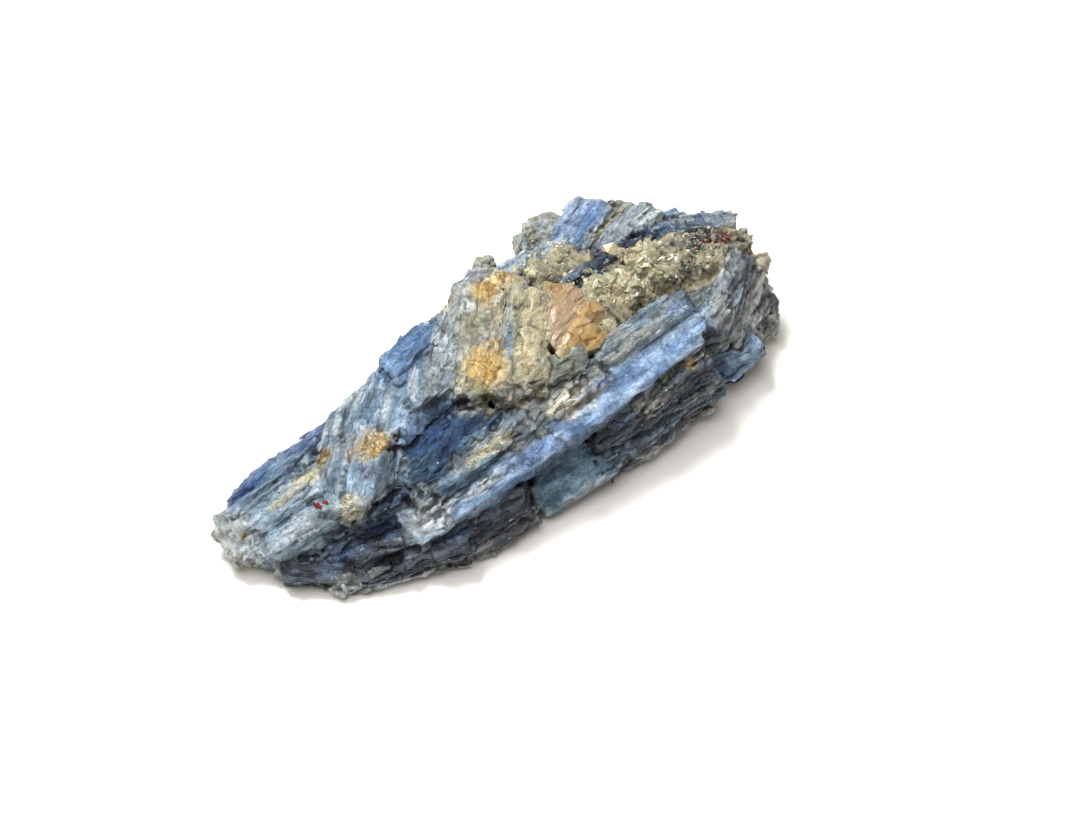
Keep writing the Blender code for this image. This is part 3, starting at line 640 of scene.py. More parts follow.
def add_blade(blocks, blade, look, ring, ridges):
    """A blade as a block: a face of laths in steps, ragged ends, and sides in thin layers."""
    start = np.array(blade.start, float)
    length = length_of(blade)
    along, across, out = blade_axes(blade)
    seed = seed_of(blade.name)
    rng = np.random.default_rng(seed)
    chance = random.Random(blade.name)
    slants = [chance.uniform(-END_SLANT, END_SLANT) for _ in range(4)]
    laths = laths_of(blade, look, rng)

    # The face is a grid: rings from end to end, and two columns a lath.
    rings = max(8, int(length / ring))
    share = np.linspace(0, 1, rings)
    lath = np.repeat(np.arange(len(laths.own)), 2)
    side = np.tile([-1.0, 1.0], len(laths.own))
    edge = np.stack([laths.edges[:-1], laths.edges[1:]], 1).ravel()
    columns = len(lath)
    first = laths.first[lath]
    last = laths.last[lath]
    run = first[:, None] + share[None, :] * (length - last - first)[:, None]
    width = blade.widths[0] + (blade.widths[1] - blade.widths[0]) * (run / length)
    left = edge[:, None] * (width + OVERLAP)
    left = left + 0.25 * patches(run, left, 4.5, 1.6, seed * 0.37)
    middle = laths.middles[lath][:, None] * width
    rough = patches(run, middle, 6.0, 1.7, seed * 0.13) + 0.5 * patches(run, middle, 2.2, 0.9, seed * 0.29)
    rise = 0.6 * look.step * np.round(1.7 * rough)
    rise = rise + laths.own[lath][:, None] + (laths.tilt[lath] * side)[:, None]
    rise = rise + 0.3 * patches(run, left, 8.0, 4.0, seed * 0.53)
    if ridges:
        rise = rise + ridge_height(raised_laths(blade), run / length, middle, length, seed)
    # The long edges are worn off a little, so that neighbours run into one another.
    rise = rise - 0.35 * eased_step(np.abs(left) / (0.5 * width), 0.75, 1.1)
    rise = np.maximum(rise, -0.3 * blade.thickness)

    def placed(run_here, left_here, rise_here, depth, share_here):
        """Points in space, with the slopes of the two ends taken in."""
        near = (slants[1] + blade.cuts[0]) * left_here + slants[3] * depth
        far = (slants[0] + blade.cuts[1]) * left_here + slants[2] * depth
        sloped = run_here + (1 - share_here) * near + share_here * far
        return start + sloped[..., None] * along + left_here[..., None] * across + rise_here[..., None] * out

    points = [placed(run, left, rise, 0.0, share[None, :]).reshape(-1, 3)]
    index = np.arange(columns * rings).reshape(columns, rings)
    corners = [index[:-1, :-1], index[:-1, 1:], index[1:, 1:], index[1:, :-1]]
    quads = [np.stack(corners, -1).reshape(-1, 4)]

    # The border of the face, once round, and which way is outward there.
    down = np.arange(rings - 1)
    over = np.arange(columns - 1)
    column = np.concatenate([0 * down, over, 0 * down + columns - 1, columns - 1 - over])
    row = np.concatenate([down, 0 * over + rings - 1, rings - 1 - down, 0 * over])
    border = (column, row)
    around = len(column)
    outward_left = np.where(column == 0, -1.0, np.where(column == columns - 1, 1.0, 0.0))
    outward_run = np.where(row == 0, -1.0, np.where(row == rings - 1, 1.0, 0.0))

    # Every layer but the outer one has a step at its top, where it juts out or is frayed.
    layers = max(2, int(round(blade.thickness / LAYER)))
    cuts = 0.5 * np.sort(rng.random(layers - 1)) + 0.5 * np.arange(1, layers) / layers
    depths = np.concatenate([[0.0], cuts, [1.0]]) * blade.thickness
    previous = index[border]
    following = np.roll(np.arange(around), -1)
    total = columns * rings
    for number in range(layers):
        jut = 0.0
        fray = 0.0
        if number:
            jut = rng.normal(0, 0.14) + 0.3 * noise_at(run[border] / 4.0, number * 3.1, seed * 0.61)
            fray = 0.4 * look.ragged * noise_at(left[border] * 1.6, number * 5.3, seed * 0.71)
        for level in (0, 1) if number else (1,):
            depth = depths[number + level]
            run_here = run[border] + outward_run * (0.3 * jut + fray)
            left_here = left[border] + outward_left * jut
            rise_here = rise[border] * max(0.0, 1 - depth / 1.2) - depth
            points.append(placed(run_here, left_here, rise_here, depth, share[row]))
            here = total + np.arange(around)
            total += around
            quads.append(np.stack([previous, here, here[following], previous[following]], 1))
            previous = here
    points.append(points[-1].mean(0, keepdims=True))
    tris = np.stack([previous, np.full(around, total), previous[following]], 1)
    blocks.add(np.concatenate(points), np.concatenate(quads), tris)


def ball(subdivisions):
    """The points and triangles of a ball of radius one."""
    shape = bmesh.new()
    bmesh.ops.create_icosphere(shape, subdivisions=subdivisions, radius=1.0)
    return arrays_of(shape)


BALL = ball(4)


def add_lump(blocks, lump):
    """The same rough lump that the solid has, with more small pits."""
    points, tris = BALL
    centre = np.array(lump.centre, float)
    radii = np.array(lump.radii, float)
    seed = seed_of(lump.name)
    far = [
        1 + 0.45 * lump.roughness * noise.noise(Vector(point) * 1.9 + Vector(lump.centre) * 1.7)
        for point in points
    ]
    place = points * radii
    pits = 0.2 * noise_at(*(place.T * 0.9 + seed * 0.31)) + 0.14 * noise_at(*(place.T * 2.1 + seed * 0.57))
    if lump in NUBS:
        pits = 2.2 * pits - 0.15
    placed = centre + place * np.array(far)[:, None] + points * pits[:, None]
    blocks.add(placed, tris=tris)


def merged(blocks, voxel):
    """One closed skin round all the blocks."""
    mesh = bpy.data.meshes.new("blocks")
    quads = np.concatenate(blocks.quads).tolist()
    tris = np.concatenate(blocks.tris).tolist()
    points = np.concatenate(blocks.points)
    points[:, 2] = np.maximum(points[:, 2], 0.02)
    mesh.from_pydata(points.tolist(), [], quads + tris)
    raw = bpy.data.objects.new("blocks", mesh)
    bpy.context.scene.collection.objects.link(raw)
    remesh = raw.modifiers.new("merge", "REMESH")
    remesh.mode = "VOXEL"
    remesh.voxel_size = voxel
    remesh.adaptivity = 0.0
    skin = raw.evaluated_get(bpy.context.evaluated_depsgraph_get()).to_mesh()
    found = np.empty(len(skin.vertices) * 3, np.float32)
    skin.vertices.foreach_get("co", found)
    corners = np.empty(len(skin.loops), np.int32)
    skin.loops.foreach_get("vertex_index", corners)
    sides = np.empty(len(skin.polygons), np.int32)
    skin.polygons.foreach_get("loop_total", sides)
    assert (sides == 4).all()
    bpy.data.objects.remove(raw)
    bpy.data.meshes.remove(mesh)
    return largest(found.reshape(-1, 3).astype(float), corners.reshape(-1, 4))


def largest(points, quads):
    """The biggest connected part of a mesh."""
    label = np.arange(len(points))
    while True:
        lowest = label.copy()
        least = label[quads].min(1)
        for side in range(4):
            np.minimum.at(lowest, quads[:, side], least)
        lowest = lowest[lowest]
        if (lowest == label).all():
            break
        label = lowest
    names, counts = np.unique(label, return_counts=True)
    keep = label == names[counts.argmax()]
    renumber = np.cumsum(keep) - 1
    return points[keep], renumber[quads[keep[quads[:, 0]]]]


class Skin:
    """The merged surface, with what is needed to smooth values over it."""

    def __init__(self, points, quads):
        self.points = points
        self.quads = quads
        one_way = np.concatenate([quads[:, [0, 1]], quads[:, [1, 2]], quads[:, [2, 3]], quads[:, [3, 0]]])
        both = np.concatenate([one_way, one_way[:, ::-1]])
        self.near = both[:, 0]
        self.far = both[:, 1]
        self.degree = np.bincount(self.near, minlength=len(points))[:, None]

    def relaxed(self, values, rounds, share=0.6):
        """The values after moving each towards the mean of its neighbours, this many times."""
        for _ in range(rounds):
            total = [
                np.bincount(self.near, weights=values[self.far, part], minlength=len(values))
                for part in range(values.shape[1])
            ]
            values = values + share * (np.stack(total, 1) / self.degree - values)
        return values

    def normals(self):
        """The outward direction at each point."""
        ends = self.points[self.quads]
        face = np.cross(ends[:, 2] - ends[:, 0], ends[:, 3] - ends[:, 1])
        total = np.zeros(self.points.shape)
        for part in range(3):
            for side in range(4):
                total[:, part] += np.bincount(self.quads[:, side], face[:, part], len(total))
        return total / np.maximum(np.linalg.norm(total, axis=1, keepdims=True), 1e-12)


# ---------------------------------------------------------------- pieces of surface


class Surface(Blocks):
    """Points, faces, colours and grain places gathered into one piece."""

    def __init__(self, name):
        super().__init__()
        self.name = name
        self.tints = []
        self.grains = []

    def add(self, points, tints, grains, quads=(), tris=()):
        super().add(points, quads, tris)
        self.tints.append(tints)
        self.grains.append(grains)

    def build(self, material, slot, sharp=None):
        """Makes the piece. Edges sharper than this many degrees stay sharp."""
        points = np.concatenate(self.points) + SHIFT
        points[:, 2] = np.maximum(points[:, 2], 0.0)
        grains = np.concatenate(self.grains)
        quads = np.concatenate(self.quads) if self.quads else np.zeros((0, 4), int)
        tris = np.concatenate(self.tris) if self.tris else np.zeros((0, 3), int)
        mesh = bpy.data.meshes.new(self.name)
        mesh.vertices.add(len(points))
        mesh.vertices.foreach_set("co", (points * MM).astype(np.float32).ravel())
        loops = np.concatenate([quads.ravel(), tris.ravel()]).astype(np.int32)
        starts = np.concatenate(
            [np.arange(len(quads)) * 4, len(quads) * 4 + np.arange(len(tris)) * 3]
        )
        mesh.loops.add(len(loops))
        mesh.loops.foreach_set("vertex_index", loops)
        mesh.polygons.add(len(starts))
        mesh.polygons.foreach_set("loop_start", starts.astype(np.int32))
        mesh.update(calc_edges=True)
        mesh.validate()
        tint = mesh.attributes.new("tint", "FLOAT_COLOR", "POINT")
        rgba_values = np.ones((len(points), 4), np.float32)
        rgba_values[:, :3] = np.concatenate(self.tints)
        tint.data.foreach_set("color", rgba_values.ravel())
        grain = mesh.attributes.new("grain", "FLOAT_VECTOR", "POINT")
        grain.data.foreach_set("vector", grains.astype(np.float32).ravel())
        mesh.shade_smooth()
        if sharp:
            mesh.set_sharp_from_angle(angle=math.radians(sharp))
        piece = bpy.data.objects.new(self.name, mesh)
        bpy.context.scene.collection.objects.link(piece)
        mesh.materials.append(material)
        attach(piece, "root")
        print(self.name, "triangles", 2 * len(quads) + len(tris))
        return piece


def with_stains_and_painted_light(points, tints):
    """Lays the stains, and the painted shadow lines, painted shade in pits and painted highlight among them,
    over the crystals' colours.
    """
    tints = tints.copy()
    by_name = {blade.name: blade for blade in BLADES}
    for index, mark in enumerate(STAINS_AND_PAINTED_LIGHT):
        blade = by_name[mark.crystal]
        full = length_of(blade)
        half_width = 0.5 * (blade.widths[0] + mark.along * (blade.widths[1] - blade.widths[0]))
        along, left, above = blade_place(blade, points)
        along = (along - mark.along * full) / (0.5 * mark.length)
        left = (left - mark.left * half_width) / (0.5 * mark.width)
        reach = np.sqrt(along**2 + left**2 + (above / 2.5) ** 2)
        near = reach < 2.2
        close = points[near]
        ragged = noise_at(*(close.T * 0.9 + index)) + 0.7 * noise_at(*(close.T * 2.3 + index))
        edge = eased_step(1.5 - (reach[near] + 0.3 * ragged), 0.0, 1.1)
        weight = (edge * mark.strength)[:, None]
        tints[near] = tints[near] * (1 - weight) + linear(mark.colour) * weight
    return tints


def smear(first, second, share):
    """Linear colours between two screen colours."""
    share = np.clip(share, 0, 1)[..., None]
    return linear(first) * (1 - share) + linear(second) * share


# ---------------------------------------------------------------- the merged stone

BLADES = (
    LEFT_ARM + UPPER_FAN + DEEP_MIDDLE + CENTRE + LONG_BLUE + FRONT_FLANK + RIGHT_END
    + TOP_EDGE + BACK_FLANK + CORE
)
LUMPS = QUARTZ + NUBS


def look_of(blade):
    """A crystal's look: the plain one where it has none of its own."""
    if blade.name.startswith("core"):
        return INNER
    return LOOKS.get(blade.name, PLAIN)


def blade_place(blade, points):
    """Places along, across and above a blade's face."""
    along, across, out = blade_axes(blade)
    away = points - np.array(blade.start, float)
    return away @ along, away @ across, away @ out


def owners(points):
    """Which crystal each point belongs to, as the one whose own surface lies nearest."""
    best = np.full(len(points), 1e9)
    owner = np.zeros(len(points), int)
    wander = 0.25 * noise_at(*(points.T * 0.9))
    for index, blade in enumerate(BLADES):
        length = length_of(blade)
        along, left, above = blade_place(blade, points)
        width = blade.widths[0] + (blade.widths[1] - blade.widths[0]) * np.clip(along / length, 0, 1)
        past_end = np.abs(along - 0.5 * length) - 0.5 * length
        past_side = np.abs(left) - 0.5 * width
        past_face = np.abs(above + 0.5 * blade.thickness) - 0.5 * blade.thickness
        reach = np.maximum(np.maximum(past_end, past_side), past_face)
        score = np.abs(reach - 0.1) + wander * (index % 3 - 1)
        if blade.name.startswith("core"):
            score = score + 0.5
        nearer = score < best
        best[nearer] = score[nearer]
        owner[nearer] = index
    for index, lump in enumerate(LUMPS):
        away = (points - np.array(lump.centre)) / np.array(lump.radii)
        reach = (np.linalg.norm(away, axis=1) - 1) * min(lump.radii)
        score = np.abs(reach) * 0.8 + 0.1
        nearer = score < best
        best[nearer] = score[nearer]
        owner[nearer] = len(BLADES) + index
    return owner


def splinters(x, y, seed):
    """Flat facets over a plane: how far each lifts its points, from -1 to 1, and a share of its own."""
    column = np.floor(x).astype(np.int64)
    row = np.floor(y).astype(np.int64)
    nearest = np.full(x.shape, 1e9)
    lift = np.zeros(x.shape)
    own = np.zeros(x.shape)
    for across in (-1, 0, 1):
        for down in (-1, 0, 1):
            at = (column + across, row + down)
            dx = x - at[0] - corner(*at, seed)
            dy = y - at[1] - corner(*at, seed + 101)
            reach = dx * dx + dy * dy
            closer = reach < nearest
            tilt = (corner(*at, seed + 211) - 0.5) * dx + (corner(*at, seed + 307) - 0.5) * dy * 2
            value = corner(*at, seed + 401)
            nearest = np.where(closer, reach, nearest)
            lift = np.where(closer, tilt + 0.7 * (value - 0.5), lift)
            own = np.where(closer, value, own)
    return lift, own


def lattice_value(first, second, seed):
    """The random value that belongs to a pair of whole numbers."""
    return corner(first.astype(np.int64), second.astype(np.int64), np.int64(seed))


def fibre_values(look, seed, along, drift):
    """Fibres one lath wide, broken into runs: nearness to a groove, and each run's own value."""
    row = np.floor(drift / look.lath)
    inside = drift / look.lath - row
    run = SHORTEST_RUN + RUN_SPREAD * lattice_value(row, row * 0 + 3, seed)
    piece = np.floor(along / run + 7.0 * lattice_value(row, row * 0 + 5, seed))
    own = lattice_value(row, piece, seed + 11) - 0.5
    groove = 1 - eased_step(np.minimum(inside, 1 - inside), 0.0, 0.32)
    return groove, own


def blade_detail(blade, points):
    """Relief, colour with painted shade down its sides, lightness with painted shade in its cracks, and
    grain places over the points of one crystal.
    """
    look = look_of(blade)
    seed = seed_of(blade.name)
    along, left, above = blade_place(blade, points)
    if blade.name.startswith(WEATHERED):
        along = along * WEATHERED_GRAIN
    side = left + 0.8 * above
    drift = side + 0.28 * patches(along, side, 5.0, 1.6, seed * 0.37)
    drift = drift + 0.08 * patches(along, side, 1.6, 0.7, seed * 0.57)
    groove, own = fibre_values(look, seed, along, drift)
    big, big_own = splinters(along / BIG_SPLINTER[0], drift / BIG_SPLINTER[1], seed)
    small, small_own = splinters(along / SMALL_SPLINTER[0] + 5, drift / SMALL_SPLINTER[1], seed + 7)
    lift = BIG_LIFT * look.step * big + SMALL_LIFT * look.step * small - 0.02 * groove + 0.04 * own
    ledge = 2.0 * patches(along, side, 7.5, 2.6, seed * 0.31)
    ledge = ledge + 0.4 * patches(along, side, 1.6, 0.8, seed * 0.33)
    ledge_step = np.floor(ledge)
    lift = lift + LEDGE_LIFT * look.step * (ledge_step + eased_step(ledge - ledge_step, 0.82, 1.0))
    seam = patches(along, side, 9.0, 1.3, seed * 0.43) + 0.3 * patches(along, side, 2.0, 0.7, seed * 0.47)
    cracks = WIDE_CRACKS if blade.name.startswith(CRACKED) else FINE_CRACKS
    crack = 1 - eased_step(np.abs(seam), 0.0, cracks.width)
    lift = lift - cracks.depth * crack
    if blade.name in CALM_BLADES:
        lift = lift * CALM_RELIEF
    mix = 0.5 + 0.7 * patches(along, side, 3.5, 1.2, seed * 0.41)
    mix = mix + 0.7 * (big_own - 0.5) + 0.5 * (small_own - 0.5)
    # Painted shade down the crystal's sides, below its face.
    deep = eased_step(-above, 0.7, 1.7)[:, None]
    colour = smear(look.first, look.second, mix) * (1 - DEPTH_SHADE * deep)
    light = 1 + cracks.contrast * (0.6 * (big_own - 0.5) + 0.45 * (small_own - 0.5) + 0.1 * own)
    # Painted shade in the cracks.
    light = light * (1 - CRACK_SHADE * crack)
    grain = np.stack([along, side, np.full(len(along), seed % 97 * 1.0)], 1)
    return lift, colour, light, grain


def lump_detail(lump, points):
    """Relief, colour, lightness and grain places over the points of one lump of quartz."""
    seed = seed_of(lump.name)
    slant = 0.6 * points[:, 2]
    across = (points[:, 0] + slant) / LUMP_FACET
    down = (points[:, 1] - slant) / LUMP_FACET
    facet, own = splinters(across, down, seed)
    lift = 0.45 * facet + 0.08 * noise_at(*(points.T * 3.1 + seed))
    colours = GREY_LUMP if lump.name in GREY_LUMPS else SAND_LUMP
    colour = smear(*colours, 0.5 + 0.6 * noise_at(*(points.T * 0.8)))
    light = 1 + 0.5 * (own - 0.5) + 0.15 * noise_at(*(points.T * 2.3 + seed))
    grain = points * np.array([6.0, 0.5, 1.0]) + seed % 31
    return lift, colour, light, grain


def crystal_detail(points, owner):
    """Relief, the colour each crystal grew with and painted shade down its sides, its lightness with painted
    shade in its cracks, and the grain places for the material.
    """
    relief = np.zeros(len(points))
    tints = np.zeros((len(points), 3))
    light = np.ones(len(points))
    grains = points.copy()
    for index, grown in enumerate(BLADES + LUMPS):
        mine = owner == index
        if not mine.any():
            continue
        detail = blade_detail if index < len(BLADES) else lump_detail
        relief[mine], tints[mine], light[mine], grains[mine] = detail(grown, points[mine])
    return relief, tints, light, grains


def split(skin, tints, grains, low, high):
    """The part of the skin between two places along the stone, closed at the cuts."""
    middle = skin.points[skin.quads].mean(1)[:, 0]
    quads = skin.quads[(middle >= low) & (middle < high)]
    sides = np.concatenate([quads[:, [0, 1]], quads[:, [1, 2]], quads[:, [2, 3]], quads[:, [3, 0]]])
    code = sides[:, 0].astype(np.int64) * len(skin.points) + sides[:, 1]
    back_code = sides[:, 1].astype(np.int64) * len(skin.points) + sides[:, 0]
    rim = sides[~np.isin(back_code, code)]
    used = np.unique(quads)
    renumber = np.full(len(skin.points), -1)
    renumber[used] = np.arange(len(used))
    points = [skin.points[used]]
    tris = []
    total = len(used)
    for at in (low, high):
        here = rim[np.abs(skin.points[rim[:, 0], 0] - at) < 1.0]
        if not len(here):
            continue
        points.append(skin.points[np.unique(here)].mean(0, keepdims=True))
        tris.append(np.stack([renumber[here[:, 1]], renumber[here[:, 0]], np.full(len(here), total)], 1))
        total += 1
    extra = total - len(used)
    tints = np.concatenate([tints[used], np.repeat(tints[used[:1]], extra, 0)])
    grains = np.concatenate([grains[used], np.repeat(grains[used[:1]], extra, 0)])
    return np.concatenate(points), tints, grains, renumber[quads], np.concatenate(tris)


# ---------------------------------------------------------------- chips and flakes


def chip_shapes(count, corners, seed):
    """Angular chips: hulls of a few points on a ball."""
    chance = random.Random(seed)
    shapes = []
    for _ in range(count):
        places = []
        for _ in range(corners):
            height = chance.uniform(-1, 1)
            heading = chance.uniform(0, 2 * math.pi)
            level = math.sqrt(1 - height * height)
            places.append((level * math.cos(heading), level * math.sin(heading), height))
        shape = hull_of(places)
        bmesh.ops.recalc_face_normals(shape, faces=shape.faces)
        shapes.append(arrays_of(shape))
    return shapes


CHIPS = chip_shapes(14, 11, 3)


def random_turn(rng):
    """A rotation matrix, every direction as likely as any other."""
    quaternion = rng.normal(0, 1, 4)
    w, x, y, z = quaternion / np.linalg.norm(quaternion)
    return np.array(
        [
            [1 - 2 * (y * y + z * z), 2 * (x * y - z * w), 2 * (x * z + y * w)],
            [2 * (x * y + z * w), 1 - 2 * (x * x + z * z), 2 * (y * z - x * w)],
            [2 * (x * z - y * w), 2 * (y * z + x * w), 1 - 2 * (x * x + y * y)],
        ]
    )


def add_chip(surface, rng, centre, size, colour, flat=0.75):
    """One angular grain, turned at random."""
    points, tris = CHIPS[rng.integers(len(CHIPS))]
    scale = size * np.array([1.0, rng.uniform(0.65, 1.0), rng.uniform(flat * 0.7, flat)])
    placed = (points * scale) @ random_turn(rng).T + centre
    shade = colour * rng.uniform(0.7, 1.3)
    tints = np.repeat(shade[None, :], len(points), 0)
    grains = points * size * CHIP_GRAIN + rng.uniform(0, 50)
    surface.add(placed, tints, grains, tris=tris)


FLAKE_RINGS = 5  # rings of four corners from one end of a splinter to the other
FLAKE_RING = np.array([(-1, -1), (-0.7, 1), (0.7, 1), (1, -1)], float)


def flake_quads():
    """The sides of a splinter, then its two ends."""
    quads = []
    for ring in range(FLAKE_RINGS - 1):
        here = 4 * ring
        for edge in range(4):
            other = (edge + 1) % 4
            quads.append((here + edge, here + 4 + edge, here + 4 + other, here + other))
    last = 4 * FLAKE_RINGS - 1
    return np.array(quads + [(0, 1, 2, 3), (last, last - 1, last - 2, last - 3)])


FLAKE_QUADS = flake_quads()


def add_flake(surface, rng, place, normal, along, size, half, thick, tint, seed):
    """A thin splinter lying on the skin, nearly in line with its crystal."""
    run = along - normal * (along @ normal)
    run /= max(float(np.linalg.norm(run)), 1e-6)
    across = np.cross(normal, run)
    yaw = rng.normal(0, 0.07)
    run, across = run + across * yaw, across - run * yaw
    steps = np.array([-0.5, rng.uniform(-0.44, -0.3), 0.0, rng.uniform(0.3, 0.44), 0.5]) * size
    taper = np.array([rng.uniform(0.1, 0.5), 0.85, 1.0, 0.8, rng.uniform(0.05, 0.4)])
    pitch = rng.normal(0, 0.035)
    points = []
    for step, fat in zip(steps, taper):
        sideways = FLAKE_RING[:, :1] * half * fat * across
        rise = (FLAKE_RING[:, 1:] * thick * (0.4 + 0.6 * fat) + pitch * step) * normal
        points.append(place + step * run + sideways + rise)
    count = 4 * FLAKE_RINGS
    lengthwise = np.repeat(steps, 4) + seed
    crosswise = np.tile(FLAKE_RING[:, 0] * half, FLAKE_RINGS)
    grains = np.stack([lengthwise, crosswise, np.full(count, seed * 1.7)], 1)
    surface.add(np.concatenate(points), np.repeat(tint[None, :], count, 0), grains, FLAKE_QUADS)


# ---------------------------------------------------------------- materials


class Nodes:
    """A small helper for wiring a material."""

    def __init__(self, name):
        self.material = bpy.data.materials.new(name)
        self.material.use_nodes = True
        self.tree = self.material.node_tree
        self.shader = self.tree.nodes["Principled BSDF"]

    def add(self, kind, inputs=(), **settings):
        node = self.tree.nodes.new(kind)
        for key, value in settings.items():
            setattr(node, key, value)
        for key, value in dict(inputs).items():
            self.feed(node.inputs[key], value)
        return node

    def feed(self, socket, value):
        if isinstance(value, bpy.types.NodeSocket):
            self.tree.links.new(value, socket)
        else:
            socket.default_value = value

    def attribute(self, name, output):
        return self.add("ShaderNodeAttribute", attribute_name=name).outputs[output]

    def noise(self, vector, stretch, detail, roughness, distortion=0.0):
        moved = self.add("ShaderNodeMapping", {"Vector": vector, "Scale": stretch}).outputs[0]
        fineness = {"Detail": detail, "Roughness": roughness, "Distortion": distortion}
        node = self.add("ShaderNodeTexNoise", {"Vector": moved, "Scale": 1.0, **fineness})
        return node.outputs["Fac"]

    def speckle(self, place, spacing, detail, roughness, distortion=0.0):
        """Noise with no direction, so many cells to the metre."""
        return self.noise(place, (spacing, spacing, spacing), detail, roughness, distortion)

    def span(self, value, low, high, to_low=0.0, to_high=1.0):
        """The value carried from one range to another."""
        node = self.add(
            "ShaderNodeMapRange",
            {"Value": value, "From Min": low, "From Max": high, "To Min": to_low, "To Max": to_high},
        )
        return node.outputs["Result"]

    def math(self, operation, first, second):
        node = self.add("ShaderNodeMath", operation=operation)
        self.feed(node.inputs[0], first)
        self.feed(node.inputs[1], second)
        return node.outputs[0]

    def mix(self, share, first, second, blend="MIX"):
        node = self.add("ShaderNodeMix", data_type="RGBA", blend_type=blend)
        self.feed(node.inputs["Factor"], share)
        self.feed(node.inputs["A"], first)
        self.feed(node.inputs["B"], second)
        return node.outputs["Result"]

    def shaded(self, colour, shade):
        """The colour made lighter or darker."""
        grey = self.add("ShaderNodeCombineColor", {"Red": shade, "Green": shade, "Blue": shade})
        return self.mix(1.0, colour, grey.outputs[0], "MULTIPLY")

    def bump(self, height, strength, distance):
        node = self.add("ShaderNodeBump", {"Height": height, "Strength": strength, "Distance": distance})
        return node.outputs["Normal"]


def rgba(colour):
    """A 0 to 255 screen colour as a node's colour."""
    return (*[float(part) for part in linear(colour)], 1.0)


def kyanite_material():
    """Fibrous kyanite with a painted pearly sheen: fine grain and streaks along each crystal, mottling and
    veins.
    """
    made = Nodes("kyanite_pearly")
    grain = made.attribute("grain", "Vector")
    tint = made.attribute("tint", "Color")
    place = made.add("ShaderNodeTexCoord").outputs["Object"]
    fine = made.noise(grain, (2.0, 4.4, 1.0), 5.0, 0.7)
    streak = made.noise(grain, (0.5, 1.6, 1.0), 5.0, 0.65, 0.4)
    mottle = made.speckle(place, 1300.0, 4.0, 0.7)
    patch = made.speckle(place, 420.0, 4.0, 0.6, 0.5)
    grained = made.span(fine, 0.3, 0.7, 0.6, 1.4)
    shade = made.math("MULTIPLY", grained, made.span(mottle, 0.32, 0.68, 0.72, 1.28))
    shade = made.math("MULTIPLY", shade, made.span(patch, 0.34, 0.66, 0.7, 1.26))
    # Dark places turn a little bluer.
    red = made.math("POWER", shade, 1.18)
    green = made.math("POWER", shade, 1.05)
    blued = made.add("ShaderNodeCombineColor", {"Red": red, "Green": green, "Blue": shade}).outputs[0]
    colour = made.mix(1.0, tint, blued, "MULTIPLY")
    # Painted pearly sheen: pale streaks mixed into the colour, fainter on dark crystals.
    painted_sheen = made.math("MULTIPLY", made.span(streak, 0.5, 0.68), made.span(mottle, 0.48, 0.62))
    brightness = made.add("ShaderNodeRGBToBW", {"Color": tint}).outputs[0]
    painted_sheen = made.math("MULTIPLY", painted_sheen, made.span(brightness, 0.03, 0.35, 0.05, 0.6))
    colour = made.mix(painted_sheen, colour, rgba(PEARL_SHEEN))
    vein = made.math("MULTIPLY", made.span(streak, 0.46, 0.32), made.span(fine, 0.52, 0.38))
    colour = made.mix(made.math("MULTIPLY", vein, 0.6), colour, rgba(VEIN_DARK))
    made.feed(made.shader.inputs["Base Color"], colour)
    made.feed(made.shader.inputs["Roughness"], made.span(fine, 0.3, 0.7, 0.2, 0.46))
    height = made.math("ADD", made.math("MULTIPLY", fine, 0.8), made.math("MULTIPLY", streak, 0.8))
    height = made.math("ADD", height, made.math("MULTIPLY", mottle, 0.9))
    made.feed(made.shader.inputs["Normal"], made.bump(height, 0.75, 0.00035))
    made.shader.inputs["IOR"].default_value = 1.6
    made.shader.inputs["Specular IOR Level"].default_value = 0.3
    return made.material


def quartz_material():
    """Glassy quartz that lets some light through."""
    made = Nodes("quartz_grains")
    tint = made.attribute("tint", "Color")
    place = made.add("ShaderNodeTexCoord").outputs["Object"]
    mottle = made.speckle(place, 1100.0, 5.0, 0.65)
    patch = made.speckle(place, 380.0, 3.0, 0.5)
    speckled = made.span(mottle, 0.25, 0.75, 0.76, 1.24)
    shade = made.math("MULTIPLY", speckled, made.span(patch, 0.3, 0.7, 0.85, 1.15))
    made.feed(made.shader.inputs["Base Color"], made.shaded(tint, shade))
    made.feed(made.shader.inputs["Roughness"], made.span(mottle, 0.3, 0.7, 0.1, 0.34))
    made.feed(made.shader.inputs["Normal"], made.bump(mottle, 0.4, 0.0003))
    made.shader.inputs["IOR"].default_value = 1.54
    made.shader.inputs["Subsurface Weight"].default_value = 0.45
    made.shader.inputs["Subsurface Radius"].default_value = (1.2, 1.0, 0.7)
    made.shader.inputs["Subsurface Scale"].default_value = 0.0008
    return made.material


def garnet_material():
    """Dark, shiny garnet."""
    made = Nodes("garnet_red")
    tint = made.attribute("tint", "Color")
    place = made.add("ShaderNodeTexCoord").outputs["Object"]
    mottle = made.speckle(place, 1500.0, 3.0, 0.6)
    shade = made.span(mottle, 0.25, 0.75, 0.7, 1.3)
    made.feed(made.shader.inputs["Base Color"], made.shaded(tint, shade))
    made.feed(made.shader.inputs["Roughness"], made.span(mottle, 0.3, 0.7, 0.12, 0.3))
    made.feed(made.shader.inputs["Normal"], made.bump(mottle, 0.2, 0.0002))
    made.shader.inputs["IOR"].default_value = 1.76
    return made.material


KYANITE = kyanite_material()
QUARTZ_LOOK = quartz_material()
GARNET = garnet_material()

# ---------------------------------------------------------------- the skin of the stone

